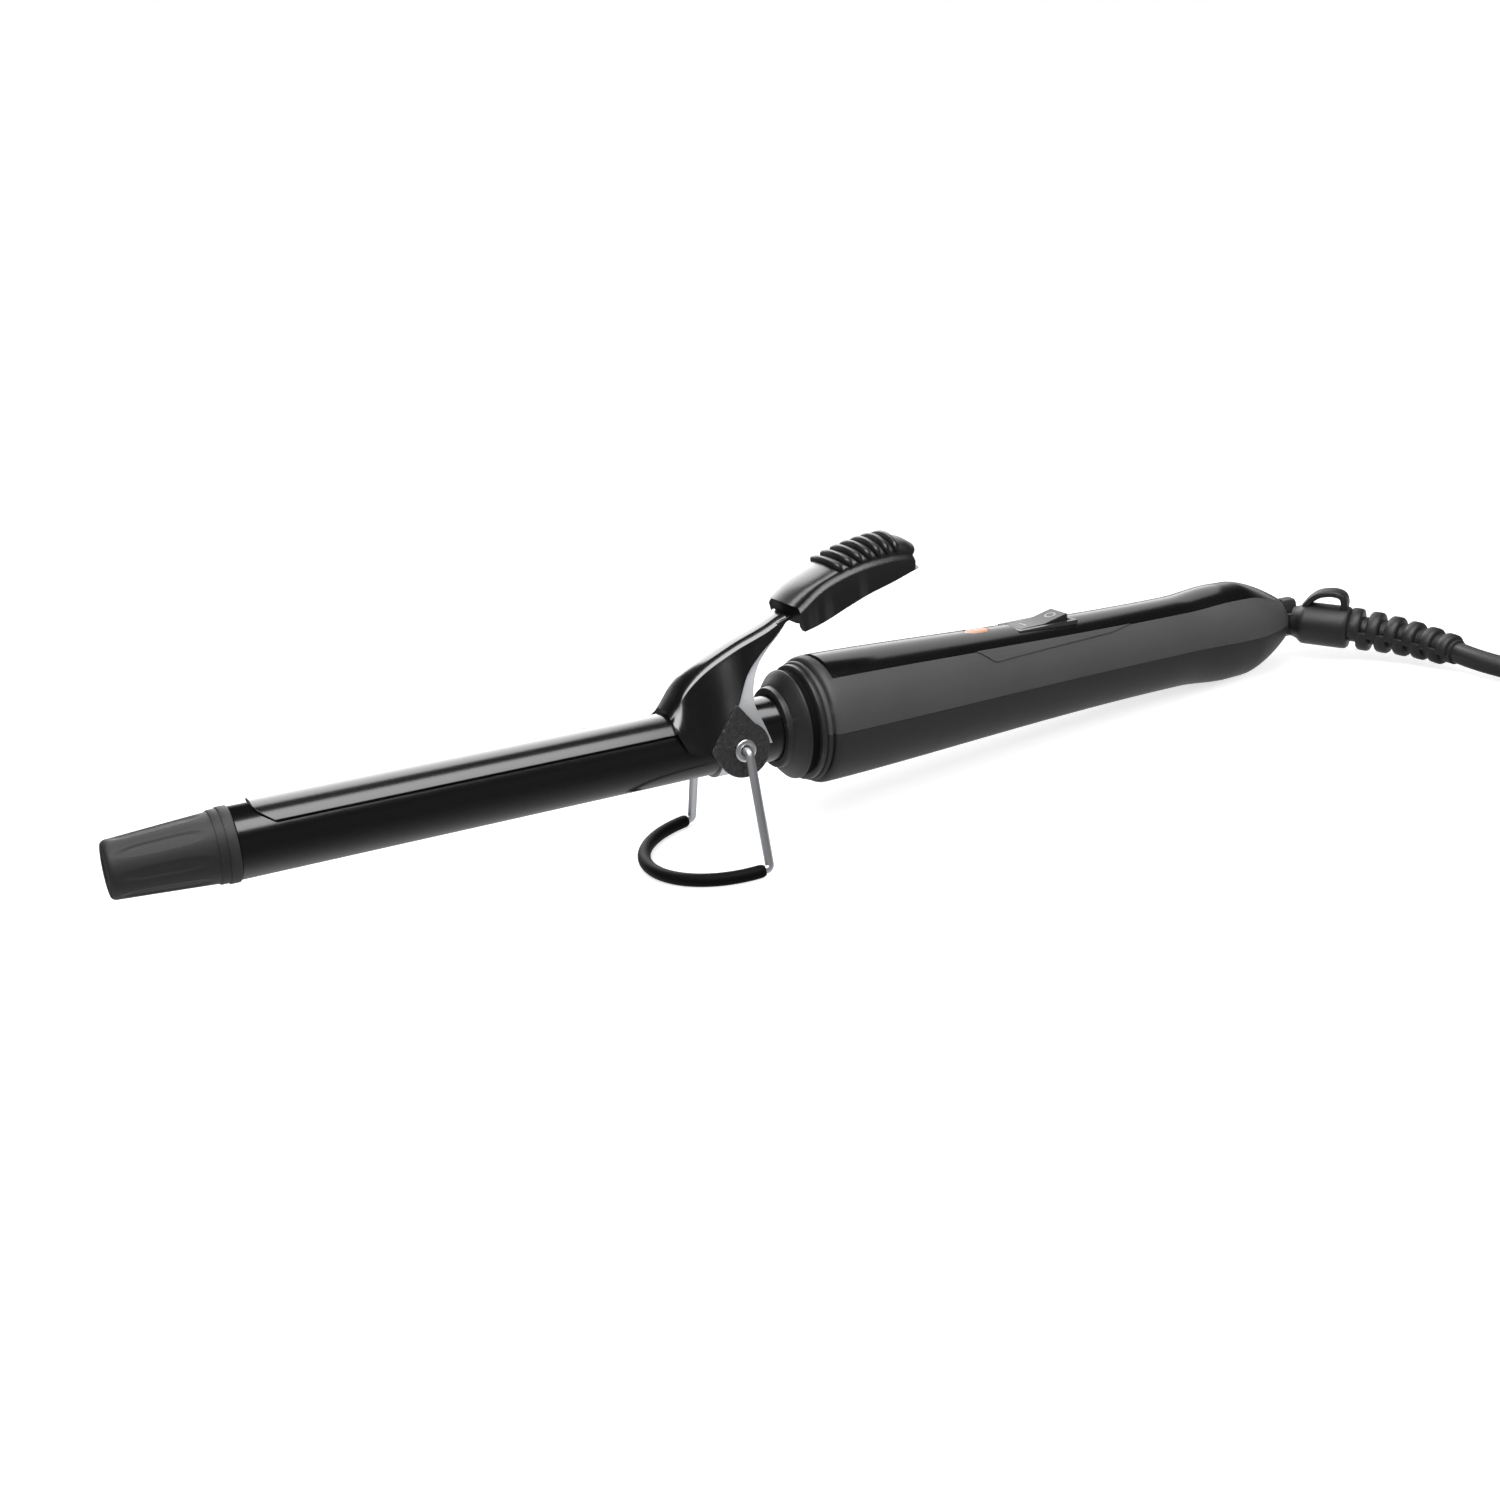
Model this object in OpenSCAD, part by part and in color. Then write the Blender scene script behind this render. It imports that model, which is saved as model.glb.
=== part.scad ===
// Curling iron: a heated barrel with a sprung clamp, a folding wire stand, a tapered
// handle and a swivel cord. It stands on the wire foot and on the flare of the handle.
// Every piece of the iron is drawn along the X axis with the clamp pivot at the origin,
// the handle at +X and the thumb lever at +Z, and in_place() sets it on the table.

/* [Barrel] */
// Outside diameter of the heated barrel
barrel_d = 16; // [14:0.5:18]
// Wall thickness of the barrel tube
barrel_wall = 0.9; // [0.7:0.1:1.2]
// Bare barrel from the clamp pivot to the cool tip
barrel_front = 116.5; // [105:0.5:130]
// Barrel behind the pivot, mostly inside the handle
barrel_rear = 50; // [46:1:51]

/* [Cool tip] */
// Length of the tapered grip ahead of the flange
tip_len = 22; // [18:0.5:26]
// Width of the stepped flange
tip_flange_len = 4.2; // [3:0.1:6]
// How far the flange stands out from the barrel
tip_flange_rise = 0.4; // [0.2:0.1:0.8]
// Diameter of the small end
tip_end_d = 12.8; // [11:0.1:13.5]
// Number of shallow flutes
tip_flutes = 8; // [6:1:10]

/* [Clamp] */
// Sheet thickness of the clamp
clamp_t = 0.8; // [0.6:0.1:1]
// Angle of barrel that the clamp covers
clamp_cover = 104; // [80:2:120]
// Distance from the pivot to the free end
clamp_reach = 112; // [100:0.5:125]

/* [Lever] */
// Sheet thickness of the lever
lever_t = 1; // [0.8:0.1:1.2]
// Distance between the inner faces of the two ears
ear_gap = 21.8; // [21.4:0.1:23]
// Radius of each ear round the pivot
ear_r = 6.7; // [6:0.1:7]
// Width of the tongue that carries the thumb rest
tongue_w = 8.6; // [7.4:0.2:10]
// Width of the thumb rest
thumb_w = 16; // [14:0.5:18]
// Number of ribs on the thumb rest
thumb_ribs = 7; // [5:1:8]
// Diameter of the ribs
rib_d = 1.9; // [1.5:0.1:2.1]

/* [Pivot] */
// Outside diameter of the hollow pivot rivets
rivet_d = 3.6; // [3.4:0.1:4]
// Diameter of the rivet heads
rivet_head_d = 5.6; // [5:0.1:6]
// Running clearance on every pivot, on the radius
pivot_clear = 0.05; // [0.03:0.01:0.08]
// Wire diameter of the return springs
spring_wire_d = 0.7; // [0.5:0.1:0.7]

/* [Stand] */
// Wire diameter of the stand
stand_wire_d = 2.1; // [1.8:0.1:2.2]
// Outside diameter of the soft sleeve on the foot
stand_sleeve_d = 3.5; // [3:0.1:4.5]
// Distance from the pivot to the foot
stand_leg = 26.5; // [24:0.5:30]
// Radius of the half-round foot
stand_foot_r = 21; // [19:0.5:25]

/* [Handle] */
// Largest diameter, behind the front chamfer
handle_front_d = 31.5; // [30:0.5:34]
// Smallest diameter, at the waist
handle_waist_d = 24.4; // [24:0.2:26]
// Diameter of the flare near the rear
handle_flare_d = 26.4; // [26.2:0.2:28]
// Diameter of the small rear end
handle_nose_d = 13.4; // [13:0.2:15]
// Wall thickness of the two shells
shell_wall = 2.2; // [2:0.1:2.4]
// Half angle of the glossy strip along the top
panel_half_angle = 39; // [32:1:42]
// Thickness of the glossy strip
panel_t = 1; // [0.8:0.1:1.2]
// Height of the step round the controls
step_rise = 0.35; // [0.2:0.05:0.5]

/* [Controls] */
// Length of the rocker
rocker_len = 14.6; // [12:0.2:16]
// Width of the rocker
rocker_w = 7; // [6:0.2:7.6]
// Tilt of the rocker each way from level
rocker_tilt = 7; // [4:0.5:8]
// Length of the lamp lens
lens_len = 7; // [5:0.2:9]
// Width of the lamp lens
lens_w = 4.2; // [3.6:0.2:5]

/* [Cord] */
// Diameter of the cord
cord_d = 5.6; // [5:0.1:6]
// Largest diameter of the strain relief
relief_d = 11.6; // [11:0.1:12.4]
// Length of the plain sleeve from the tilt pin
relief_sleeve = 20; // [18:0.5:22]
// Length of the ringed part along its bend
relief_rings_len = 31; // [28:0.5:34]
// Diameter of the plug pins
plug_pin_d = 4.8; // [4:0.1:5]
// Distance between the plug pins
plug_pin_pitch = 19; // [18:0.1:20]

/* [Hidden] */
$fn = 64;
overlap = 0.5;
bend_bulge = 0.1;
seat = 0.05;
free = 0.3;

// Barrel and clamp
barrel_r = barrel_d / 2;
bore_r = barrel_r - barrel_wall;
clamp_in_r = barrel_r + 0.1;
clamp_out_r = clamp_in_r + clamp_t;
clamp_end = -6;
clamp_corner = 4.5;
clamp_end_half = 2.5;

// Cool tip
tip_flange_at = -barrel_front - tip_flange_len;
tip_end_at = tip_flange_at - tip_len;
tip_base_r = barrel_r - 0.2;
tip_end_r = tip_end_d / 2;
tip_round = 1;
tip_spigot_len = 12;
flute_r = 2.4;
flute_depth = 0.45;

// Lever: half widths, and the lines of its top and lower edge as [x, height]
ear_in = ear_gap / 2;
ear_out = ear_in + 1.1;
hood_front = -15;
hood_in_r = clamp_out_r + seat;
hood_out_r = hood_in_r + lever_t;
lever_top = [
    [hood_front, hood_out_r], [-13.2, hood_out_r + 2.2], [-11.2, hood_out_r + 4.8],
    [-8.6, hood_out_r + 7.2], [-5.2, hood_out_r + 9.5], [-1, hood_out_r + 11.6],
    [4, hood_out_r + 13.7], [9, hood_out_r + 15.4], [13, hood_out_r + 16.9],
    [17, hood_out_r + 18.6],
];
lever_edge = [6, 1.6, 1, 0.5, 4, 10.4, 16.5, 20.4, 23, 26.6];
tongue_half = tongue_w / 2;
lever_half = [
    hood_out_r - 2.05, hood_out_r - 0.15, ear_out - 1.4, ear_out - 0.5, ear_out, ear_out - 0.3,
    tongue_half + 3.9, tongue_half + 1.3, tongue_half + 0.3, tongue_half,
];
lever_bulge = [0.3, 0.6, 0.2, 0, 0, 0, 0, 0, 0, 0];
strip_half = 4.5;
strip_drop = 1.2;
wall_steps = 6;
flange_t = 0.6;
// The inner flange behind each side wall: [height, from, to, outer face]
flange_plan = [
    [0, 5, 7.3, ear_in + seat], [4.5, 3, 5.5, ear_in + seat], [9.8, -1, 4, ear_in + seat],
    [13.7, 0.3, 4.9, tongue_half + 5.1], [17.8, 4.2, 7.6, tongue_half + 2.5],
    [21, 8.6, 11.2, tongue_half + 0.6], [23.5, 12.5, 14.6, tongue_half - 0.4],
    [25.5, 15, 16.6, tongue_half - 0.7],
];
tongue_from = [15.5, hood_out_r + 17];
tongue_len = 25;
tongue_rise = 20;

// Thumb rest: its underside, ledge and crown as [x, height] above the top of the hood
thumb_drop = hood_out_r;
thumb_under = [
    [19.8, 14.3], [24.9, 15.7], [31.9, 18.4], [37.7, 20.5], [44.2, 22.3], [49.4, 24], [50.8, 24.5],
];
thumb_ledge = [
    [18.8, 19.6], [24.4, 23.5], [30, 25.8], [37.4, 27.5], [44.2, 28.1], [48.8, 28], [50.9, 27.5],
];
thumb_crown = [
    [15.8, 21.9], [21, 25.1], [28, 28.1], [36, 30.8], [44.5, 32.3], [50, 31.7], [53.3, 29.3],
];
thumb_bow = [0, 0, 0, 0, 0, 1, 3.2];
thumb_steps = 12;
ledge_in = 1.2;
ledge_rise = 0.9;
rib_lift = 0.25;
rib_lean = 20;
rib_from = 30;
rib_step = 2.85;

// Pivot and stand
boss_d = rivet_d + 1;
bracket_t = 0.8;
bracket_half_len = 4;
rivet_bore_d = stand_wire_d + 2 * pivot_clear;
rivet_head_t = 0.7;
rivet_out = ear_out + 0.1 + rivet_head_t;
stand_half = rivet_out + free + stand_wire_d / 2;
stand_pin_in = 3.4;
sleeve_sweep = 172;

// Handle: distances along the axis from the pivot
collar_at = 12.8;
shell_at = 21.2;
chamfer_end = 24.5;
waist_at = 135;
flare_at = 150;
contact_at = 156;
handle_end = 171;
shoulder_at = 158;
front_r = handle_front_d / 2;
waist_r = handle_waist_d / 2;
flare_r = handle_flare_d / 2;
contact_r = flare_r - 0.2;
nose_r = handle_nose_d / 2;
collar_r = front_r - 1.5;
collar_front_r = barrel_r + 1.9;
groove_w = 2.2;
groove_depth = 1.6;
groove_at = shell_at - groove_w - 1.5;
collar_bore_r = barrel_r + 0.15;
shell_front_r = front_r - 0.9;
spigot_r = shell_front_r - shell_wall - seat;
bush_at = 31;
bush_r = barrel_r + 3.4;
rib_t = 2;
screw_at = [58, 128];
screw_d = 2.6;
screw_head_d = 5;
screw_boss_d = 6.4;
screw_head_at = -5.5;
screw_tip_at = 6.5;
panel_at = 26;
panel_end = 168;
panel_gap = 0.6;
step_plan = [[67, 0.62], [71, 0.81], [109, 0.71], [116, 0.62]];

// Controls
lens_at = 73;
rocker_at = 92;
rocker_axis_h = waist_r - 2;
rocker_pin_d = 1.8;
switch_wall = 1.1;
switch_in_w = rocker_w + 2 * free;
switch_out_w = switch_in_w + 2 * switch_wall;
switch_in_len = rocker_len + 1.2;
switch_out_len = switch_in_len + 2 * switch_wall;
switch_top = waist_r + 0.7;
board_t = 1.6;
board_from = 63;
board_to = 122;
board_w = 15;
board_h = 3;
board_top = board_h + board_t;
post_at = [69, 116];
post_d = 4;
led_d = 3;
led_h = 5;

// Heater
film_t = 0.15;
spreader_r = bore_r - film_t - 0.1;
ptc_t = 2;
strip_t = 0.3;
heater_from = -barrel_front + tip_spigot_len + 2;
heater_to = -14;
heater_len = heater_to - heater_from;
ptc_count = 3;
ptc_len = 22;
ptc_w = 9;
strip_w = 8;
tab_to = -8;
lead_d = 1.6;
lead_side = 3;
fuse_d = 3.6;
fuse_len = 10;
fuse_at = 12;

// Swivel
neck_r = 5.4;
housing_at = 134;
housing_r = waist_r - shell_wall - 1;
housing_bore_r = housing_r - 1.7;
flange_r = housing_bore_r - free;
flange_len = 4;
drum_r = 4.6;
drum_at = 138;
ring_r = 5.2;
ring_w = 2;
ring_at = [140.5, 145.5];
brush_w = 1.6;
tilt_at = handle_end + 1.5;
fork_r = 5;
fork_half = 5.3;
fork_in = 3.3;
knuckle_half = fork_in - free;
knuckle_r = fork_r - 0.8;
knuckle_neck = 3.5;
tilt_pin_d = 2.4;
swivel_roll = 5;
swivel_tilt = 55;

// Strain relief
relief_r = relief_d / 2;
relief_neck_r = 4.3;
relief_neck_at = 5.4;
relief_shoulder_at = 7.4;
relief_core_r = 3.6;
relief_bend = 35;
relief_bend_r = relief_rings_len / (relief_bend * PI / 180);
relief_rings = 6;
ring_pitch = relief_bend / (relief_rings - 0.2);
ring_thick = 3.4;
relief_end_r = 4.2;
loop_from = 9;
loop_to = 19;
loop_h = 4.6;
loop_t = 2;
loop_w = 5;

// The tilt that brings the flare down to the table when the foot stands on it
sleeve_r = stand_sleeve_d / 2;
leg_over = stand_leg - contact_r;
rest_tilt = atan2(leg_over, contact_at) + asin(sleeve_r / norm([leg_over, contact_at]));
pivot_h = stand_leg * cos(rest_tilt) + sleeve_r;
low_x = tip_end_at * cos(rest_tilt) - (tip_end_r - tip_round) * sin(rest_tilt) - 0.05;
high_x = (tilt_at + fork_r) * cos(rest_tilt) + fork_half * sin(rest_tilt);
mid_x = (low_x + high_x) / 2;

// Cord: its route on the table, and the coil of the length that is put away
cord_r = cord_d / 2;
coil_at = [262, -52];
coil_turns = 3.75;
coil_in_r = 22.8;
coil_base = 3.4;
coil_out_r = coil_in_r + coil_turns * cord_d;
lead_route = [
    [175, -53, 4.5], [177, -62, 3.6], [181.5, -71, 3.3], [188.5, -79, 3.3], [197.5, -85.3, 3.3],
    [208.5, -90, 3.3], [221, -93.4, 3.4], [235, -95.3, 3.4], [249, -95.8, 3.4], [262, -95.8, 3.4],
];
tail_route = [
    [289.3, -84.5, 9], [295.4, -78.1, 9.8], [300.4, -69.9, 11.7], [303.5, -60.8, 13.7],
    [304.4, -52, 15.3], [304.4, -42, 16.5], [304.4, -32, 17.5], [302.6, -22.8, 18.6],
    [297.4, -15, 19.8], [289.6, -9.8, 21], [280.4, -8, 22.2], [271.2, -9.8, 23.3],
    [263.4, -15, 24.2], [258.2, -22.8, 24.7], [256.4, -31.8, 24.9],
];
tie_angle = 200;
tie_w = 5;
tie_t = 0.5;
plug_at = [256.4, -32, 24.9];
plug_len = 40;
plug_w = 36;
plug_h = 25.8;
plug_pin_len = 19;

// Points along the relief's bend, in the frame of the tilt pin
function bend_point(angle) = [
    relief_sleeve + relief_bend_r * sin(angle),
    -relief_bend_r * (1 - cos(angle)),
    0,
];

function turn_x(p, a) = [p.x, p.y * cos(a) - p.z * sin(a), p.y * sin(a) + p.z * cos(a)];
function turn_y(p, a) = [p.x * cos(a) + p.z * sin(a), p.y, p.z * cos(a) - p.x * sin(a)];
function turn_z(p, a) = [p.x * cos(a) - p.y * sin(a), p.x * sin(a) + p.y * cos(a), p.z];
function from_tilt(p) = turn_x(turn_z(p, -swivel_tilt), swivel_roll) + [tilt_at, 0, 0];
function on_table(p) = turn_y(p, rest_tilt) + [-mid_x, 0, pivot_h];
relief_tip = on_table(from_tilt(bend_point(relief_bend + 0.3)));

// Outside radius of the handle at a distance from the pivot
function ease(t) = t * t * (3 - 2 * t);
function taper_r(x) =
    front_r - (front_r - waist_r) * pow(sin(90 * (x - chamfer_end) / (waist_at - chamfer_end)), 1.4);
function nose_fall(x) = 1 - pow((x - contact_at) / (handle_end - contact_at), 1.4);
function handle_r(x) =
    x <= waist_at ? taper_r(x)
    : x <= flare_at ? waist_r + (flare_r - waist_r) * ease((x - waist_at) / (flare_at - waist_at))
    : x <= contact_at ? flare_r + (contact_r - flare_r) * (x - flare_at) / (contact_at - flare_at)
    : nose_r + (contact_r - nose_r) * nose_fall(x);
handle_x = concat(
    [for (i = [0 : 18]) chamfer_end + i * (waist_at - chamfer_end) / 18],
    [for (i = [1 : 5]) waist_at + i * (flare_at - waist_at) / 5],
    [contact_at],
    [for (i = [1 : 8]) contact_at + i * (handle_end - contact_at) / 8]
);
function between(list, low, high) = [for (x = list) if (x > low && x < high) x];
function skin(low, high, rise) = [
    for (x = concat([low], between(handle_x, low, high), [high])) [x, handle_r(x) + rise]
];
function backwards(list) = [for (i = [len(list) - 1 : -1 : 0]) list[i]];

// Sets a piece that is drawn along the X axis on the table
module in_place() {
    translate([-mid_x, 0, pivot_h]) rotate([0, rest_tilt, 0]) children();
}

// Sets a piece that is drawn in the frame of the tilt pin on the iron
module at_swivel(tilt = 0) {
    in_place() translate([tilt_at, 0, 0]) rotate([swivel_roll, 0, 0]) rotate([0, 0, -tilt]) children();
}

// A solid turned about X: outline points are [x, radius], the sweep is centred on about,
// where 0 is the top and 180 the bottom
module turned(outline, sweep = 360, about = 0) {
    rotate([0, 90, 0]) rotate([0, 0, 180 + about - sweep / 2])
        rotate_extrude(angle = sweep) polygon([for (p = outline) [p.y, p.x]]);
}

module tube_x(from, to, out_r, in_r) {
    turned([[from, in_r], [to, in_r], [to, out_r], [from, out_r]]);
}

module disc_x(from, to, r) {
    translate([from, 0, 0]) rotate([0, 90, 0]) cylinder(r = r, h = to - from);
}

// A cylinder across the iron between two values of Y
module disc_y(from, to, r) {
    translate([0, to, 0]) rotate([90, 0, 0]) cylinder(r = r, h = to - from);
}

// A side outline in [x, z], given a thickness between two values of Y
module plate_y(from, to) {
    translate([0, to, 0]) rotate([90, 0, 0]) linear_extrude(to - from) children();
}

module rod(from, to, d) {
    way = to - from;
    translate(from) rotate([0, acos(way.z / norm(way)), atan2(way.y, way.x)])
        cylinder(d = d, h = norm(way));
}

module both_sides() {
    children();
    mirror([0, 1, 0]) children();
}

// A solid skinned over a row of loops with the same even number of points: the first half
// of each loop runs across and the second half runs back beside it, so quads close the ends
module skinned(loops) {
    count = len(loops[0]);
    last = len(loops) - 1;
    sides = [
        for (i = [0 : last - 1]) for (j = [0 : count - 1])
            [i * count + j, i * count + (j + 1) % count, (i + 1) * count + (j + 1) % count,
             (i + 1) * count + j]
    ];
    ends = [
        for (j = [0 : count / 2 - 2]) each [
            [count - 1 - j, count - 2 - j, j + 1, j],
            [for (n = [j, j + 1, count - 2 - j, count - 1 - j]) last * count + n],
        ]
    ];
    polyhedron(points = [for (loop = loops) each loop], faces = concat(sides, ends));
}

// A round tube swept along a row of points
function unit(v) = v / norm(v);
function heading(route, i) =
    unit(route[min(i + 1, len(route) - 1)] - route[max(i - 1, 0)]);
function ring_at_point(p, way, r, sides) =
    let (side = unit(cross(way, [0.02, 0.03, 1])), up = cross(side, way))
    [for (k = [0 : sides - 1]) p + r * (cos(360 * k / sides) * side - sin(360 * k / sides) * up)];
module swept(route, r, sides = 8) {
    skinned([
        for (i = [0 : len(route) - 1]) ring_at_point(route[i], heading(route, i), r, sides)
    ]);
}

module cool_tip() {
    color("#3f4042") in_place() difference() {
        turned([
            [-barrel_front + tip_spigot_len, 0], [-barrel_front + tip_spigot_len, bore_r - seat],
            [-barrel_front, bore_r - seat], [-barrel_front, barrel_r + tip_flange_rise],
            [tip_flange_at + 1.9, barrel_r + tip_flange_rise],
            [tip_flange_at + 1.7, barrel_r + tip_flange_rise - 0.3],
            [tip_flange_at, barrel_r + tip_flange_rise - 0.3], [tip_flange_at, tip_base_r],
            [tip_end_at + tip_round, tip_end_r],
            [tip_end_at + tip_round * 0.3, tip_end_r - tip_round * 0.3],
            [tip_end_at, tip_end_r - tip_round], [tip_end_at, 0],
        ]);
        for (i = [0 : tip_flutes - 1]) rotate([360 * (i + 0.5) / tip_flutes, 0, 0]) tip_flute();
    }
}

// One flute: a groove with arched ends that follows the taper of the grip
module tip_flute() {
    lift = flute_r - flute_depth;
    rise = atan2(tip_base_r - tip_end_r, tip_len - tip_round);
    length = tip_len - 4.5;
    translate([tip_end_at + 2, 0, tip_end_r + lift]) rotate([0, -rise, 0]) turned([
        [0, 0], [0, flute_r - 1.6 * flute_depth], [2.4, flute_r], [length - 2.4, flute_r],
        [length, flute_r - 1.6 * flute_depth], [length, 0],
    ]);
}

module barrel() {
    color("#141416") in_place() tube_x(-barrel_front, barrel_rear, barrel_r, bore_r);
}

module clamp() {
    corner_w = clamp_out_r + 1;
    color("#1a1a1d") in_place() difference() {
        turned([
            [-clamp_reach, clamp_in_r], [clamp_end, clamp_in_r],
            [clamp_end, clamp_out_r], [-clamp_reach, clamp_out_r],
        ], clamp_cover);
        both_sides() translate([-clamp_reach, 0, 0]) linear_extrude(corner_w)
            polygon([[-free, clamp_end_half], [0, clamp_end_half],
                     [clamp_corner * 0.35, 2 * clamp_end_half], [clamp_corner, corner_w],
                     [-free, corner_w]]);
    }
}

// Half of a cross section of the hood, from its lower edge to the middle of the top: a wall
// that leans in, a rounded shoulder and the crowned strip
function hood_half(top, edge, half, bulge, drop) =
    let (low = [half, edge], strip = min(strip_half, half - 0.3),
         high = [strip, top - min(drop, (top - edge) / 2)],
         out = unit([high.y - low.y, low.x - high.x]), middle = (low + high) / 2 + 2 * bulge * out)
    concat(
        [for (k = [0 : wall_steps])
            let (t = k / wall_steps)
            (1 - t) * (1 - t) * low + 2 * t * (1 - t) * middle + t * t * high],
        [[strip * 0.82, top - 0.35 * drop], [strip * 0.5, top - 0.08 * drop]]
    );
function across(x, side, top) = concat(
    [for (p = side) [x, -p.x, p.y]],
    [[x, 0, top]],
    [for (p = backwards(side)) [x, p.x, p.y]]
);
function hood_loop(i) =
    let (x = lever_top[i].x, top = lever_top[i].y, edge = lever_edge[i], half = lever_half[i],
         outer = hood_half(top, edge, half, lever_bulge[i], strip_drop),
         inner = hood_half(top - lever_t, edge, half - lever_t, lever_bulge[i], strip_drop))
    concat(across(x, outer, top), backwards(across(x, inner, top - lever_t)));

module ear_outline() {
    circle(r = ear_r);
    polygon([[-8.4, 1], [-1.4, 11.2], [-0.6, 10.6], [ear_r * 0.45, ear_r * 0.88], [0, 0],
             [-ear_r * 0.86, -ear_r * 0.5]]);
}

module lever() {
    color("#161618") in_place() difference() {
        union() {
            skinned([for (i = [0 : len(lever_top) - 1]) hood_loop(i)]);
            both_sides() plate_y(ear_in, ear_out) ear_outline();
            both_sides() lever_flange();
            tongue(tongue_w, lever_t);
        }
        both_sides() disc_y(ear_in - 1, ear_out + 1, rivet_d / 2 + pivot_clear);
    }
}

// The bare inner flange shows behind the rear edge of the wall and along the ear
module lever_flange() {
    skinned([
        for (f = flange_plan)
            [[f[1], f[3], f[0]], [f[2], f[3], f[0]], [f[2], f[3] - flange_t, f[0]],
             [f[1], f[3] - flange_t, f[0]]]
    ]);
}

// The strip that runs on from the hood into the thumb rest
module tongue(w, t) {
    translate([tongue_from.x, 0, tongue_from.y]) rotate([0, -tongue_rise, 0])
        translate([0, -w / 2, -t]) cube([tongue_len, w, t]);
}

function thumb_section(i) =
    let (under = thumb_under[i], ledge = thumb_ledge[i], crown = thumb_crown[i],
         half = thumb_w / 2, top_half = half - ledge_in)
    [
        [ledge.x, -half, ledge.y + thumb_drop - ledge_rise],
        for (k = [0 : thumb_steps])
            let (a = 180 * k / thumb_steps, t = sin(a))
            [ledge.x + (crown.x - ledge.x) * t, -top_half * cos(a),
             ledge.y + thumb_drop + 0.3 + (crown.y - ledge.y - 0.3) * t],
        [ledge.x, half, ledge.y + thumb_drop - ledge_rise],
        for (k = [thumb_steps + 2 : -1 : 0])
            let (a = 180 * k / (thumb_steps + 2))
            [under.x + thumb_bow[i] * sin(a), -half * cos(a), under.y + thumb_drop],
    ];
function crown_at(x) = lookup(x, thumb_crown) + thumb_drop;

module thumb_rest() {
    color("#232325") in_place() difference() {
        union() {
            thumb_body();
            for (i = [0 : thumb_ribs - 1]) thumb_rib(rib_from + i * rib_step);
        }
        tongue(tongue_w + 2 * seat, lever_t + seat);
        thumb_hollow();
    }
}

// The slanted front and rear ends come from sections that lean
module thumb_body() {
    skinned([for (i = [0 : len(thumb_under) - 1]) thumb_section(i)]);
}

// The skirt is open below the tongue
module thumb_hollow() {
    translate([tongue_from.x - 2, 0, tongue_from.y]) rotate([0, -tongue_rise, 0])
        translate([0, -thumb_w / 2 + 1.6, -20 - lever_t - 1])
            cube([tongue_len + 11.5, thumb_w - 3.2, 20]);
}

// A rib is a slice of a wide ring whose top lies on the crown
module thumb_rib(x) {
    bow = thumb_w * 0.72;
    translate([x, 0, crown_at(x) + rib_lift]) rotate([0, -rib_lean, 0]) intersection() {
        translate([0, 0, -bow]) rotate([0, 90, 0]) rotate_extrude() translate([bow, 0])
            circle(d = rib_d, $fn = 24);
        translate([-rib_d, -thumb_w / 2 + 1.4, -0.4 * bow])
            cube([2 * rib_d, thumb_w - 2.8, bow]);
    }
}

// Torsion springs: a turn and a quarter round each boss, one end low, one up in the hood
spring_r = boss_d / 2 + spring_wire_d / 2 + 0.15;
spring_in = barrel_r + bracket_t + spring_wire_d / 2 + 0.15;
spring_out = ear_in - spring_wire_d / 2 - 0.15;
spring_sweep = 450;
spring_steps = 20;
spring_route = concat(
    [[5.6, spring_in, -spring_r]],
    [for (k = [0 : spring_steps])
        let (a = spring_sweep * k / spring_steps)
        [-spring_r * sin(a), spring_in + (spring_out - spring_in) * k / spring_steps,
         -spring_r * cos(a)]],
    [[-spring_r, spring_out, 5.8]]
);

module return_springs() {
    color("#b9bcc0") in_place() both_sides() swept(spring_route, spring_wire_d / 2, 8);
}

// A band round the lower half of the barrel, with a boss each side for the rivet
module pivot_bracket() {
    color("#8c8f94") in_place() difference() {
        union() {
            turned([
                [-bracket_half_len, barrel_r + seat], [bracket_half_len, barrel_r + seat],
                [bracket_half_len, barrel_r + bracket_t], [-bracket_half_len, barrel_r + bracket_t],
            ], 210, 180);
            both_sides() disc_y(barrel_r + seat, ear_in - 0.2, boss_d / 2);
        }
        both_sides() disc_y(barrel_r - 1, ear_in, rivet_d / 2 + 0.02);
        disc_x(-bracket_half_len - 1, bracket_half_len + 1, barrel_r + seat);
    }
}

module pivot_rivets() {
    color("#d5d7da") in_place() both_sides() difference() {
        union() {
            disc_y(barrel_r + 0.3, rivet_out, rivet_d / 2);
            disc_y(ear_out + 0.1, rivet_out, rivet_head_d / 2);
        }
        disc_y(barrel_r, rivet_out + 1, rivet_bore_d / 2);
    }
}

// The foot lies flat on the table while the legs stand square to the barrel
module at_foot() {
    translate([0, 0, -stand_leg]) rotate([0, -rest_tilt, 0]) children();
}

module stand_wire() {
    color("#c9ccd0") in_place() {
        both_sides() {
            disc_y(rivet_out - stand_pin_in, stand_half, stand_wire_d / 2);
            translate([0, stand_half, 0]) sphere(d = stand_wire_d + bend_bulge);
            rod([0, stand_half, 0], [0, stand_foot_r, -stand_leg], stand_wire_d);
            translate([0, stand_foot_r, -stand_leg]) sphere(d = stand_wire_d + bend_bulge);
        }
        at_foot() rotate([0, 0, 90]) rotate_extrude(angle = 180)
            translate([stand_foot_r, 0]) circle(d = stand_wire_d);
    }
}

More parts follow.
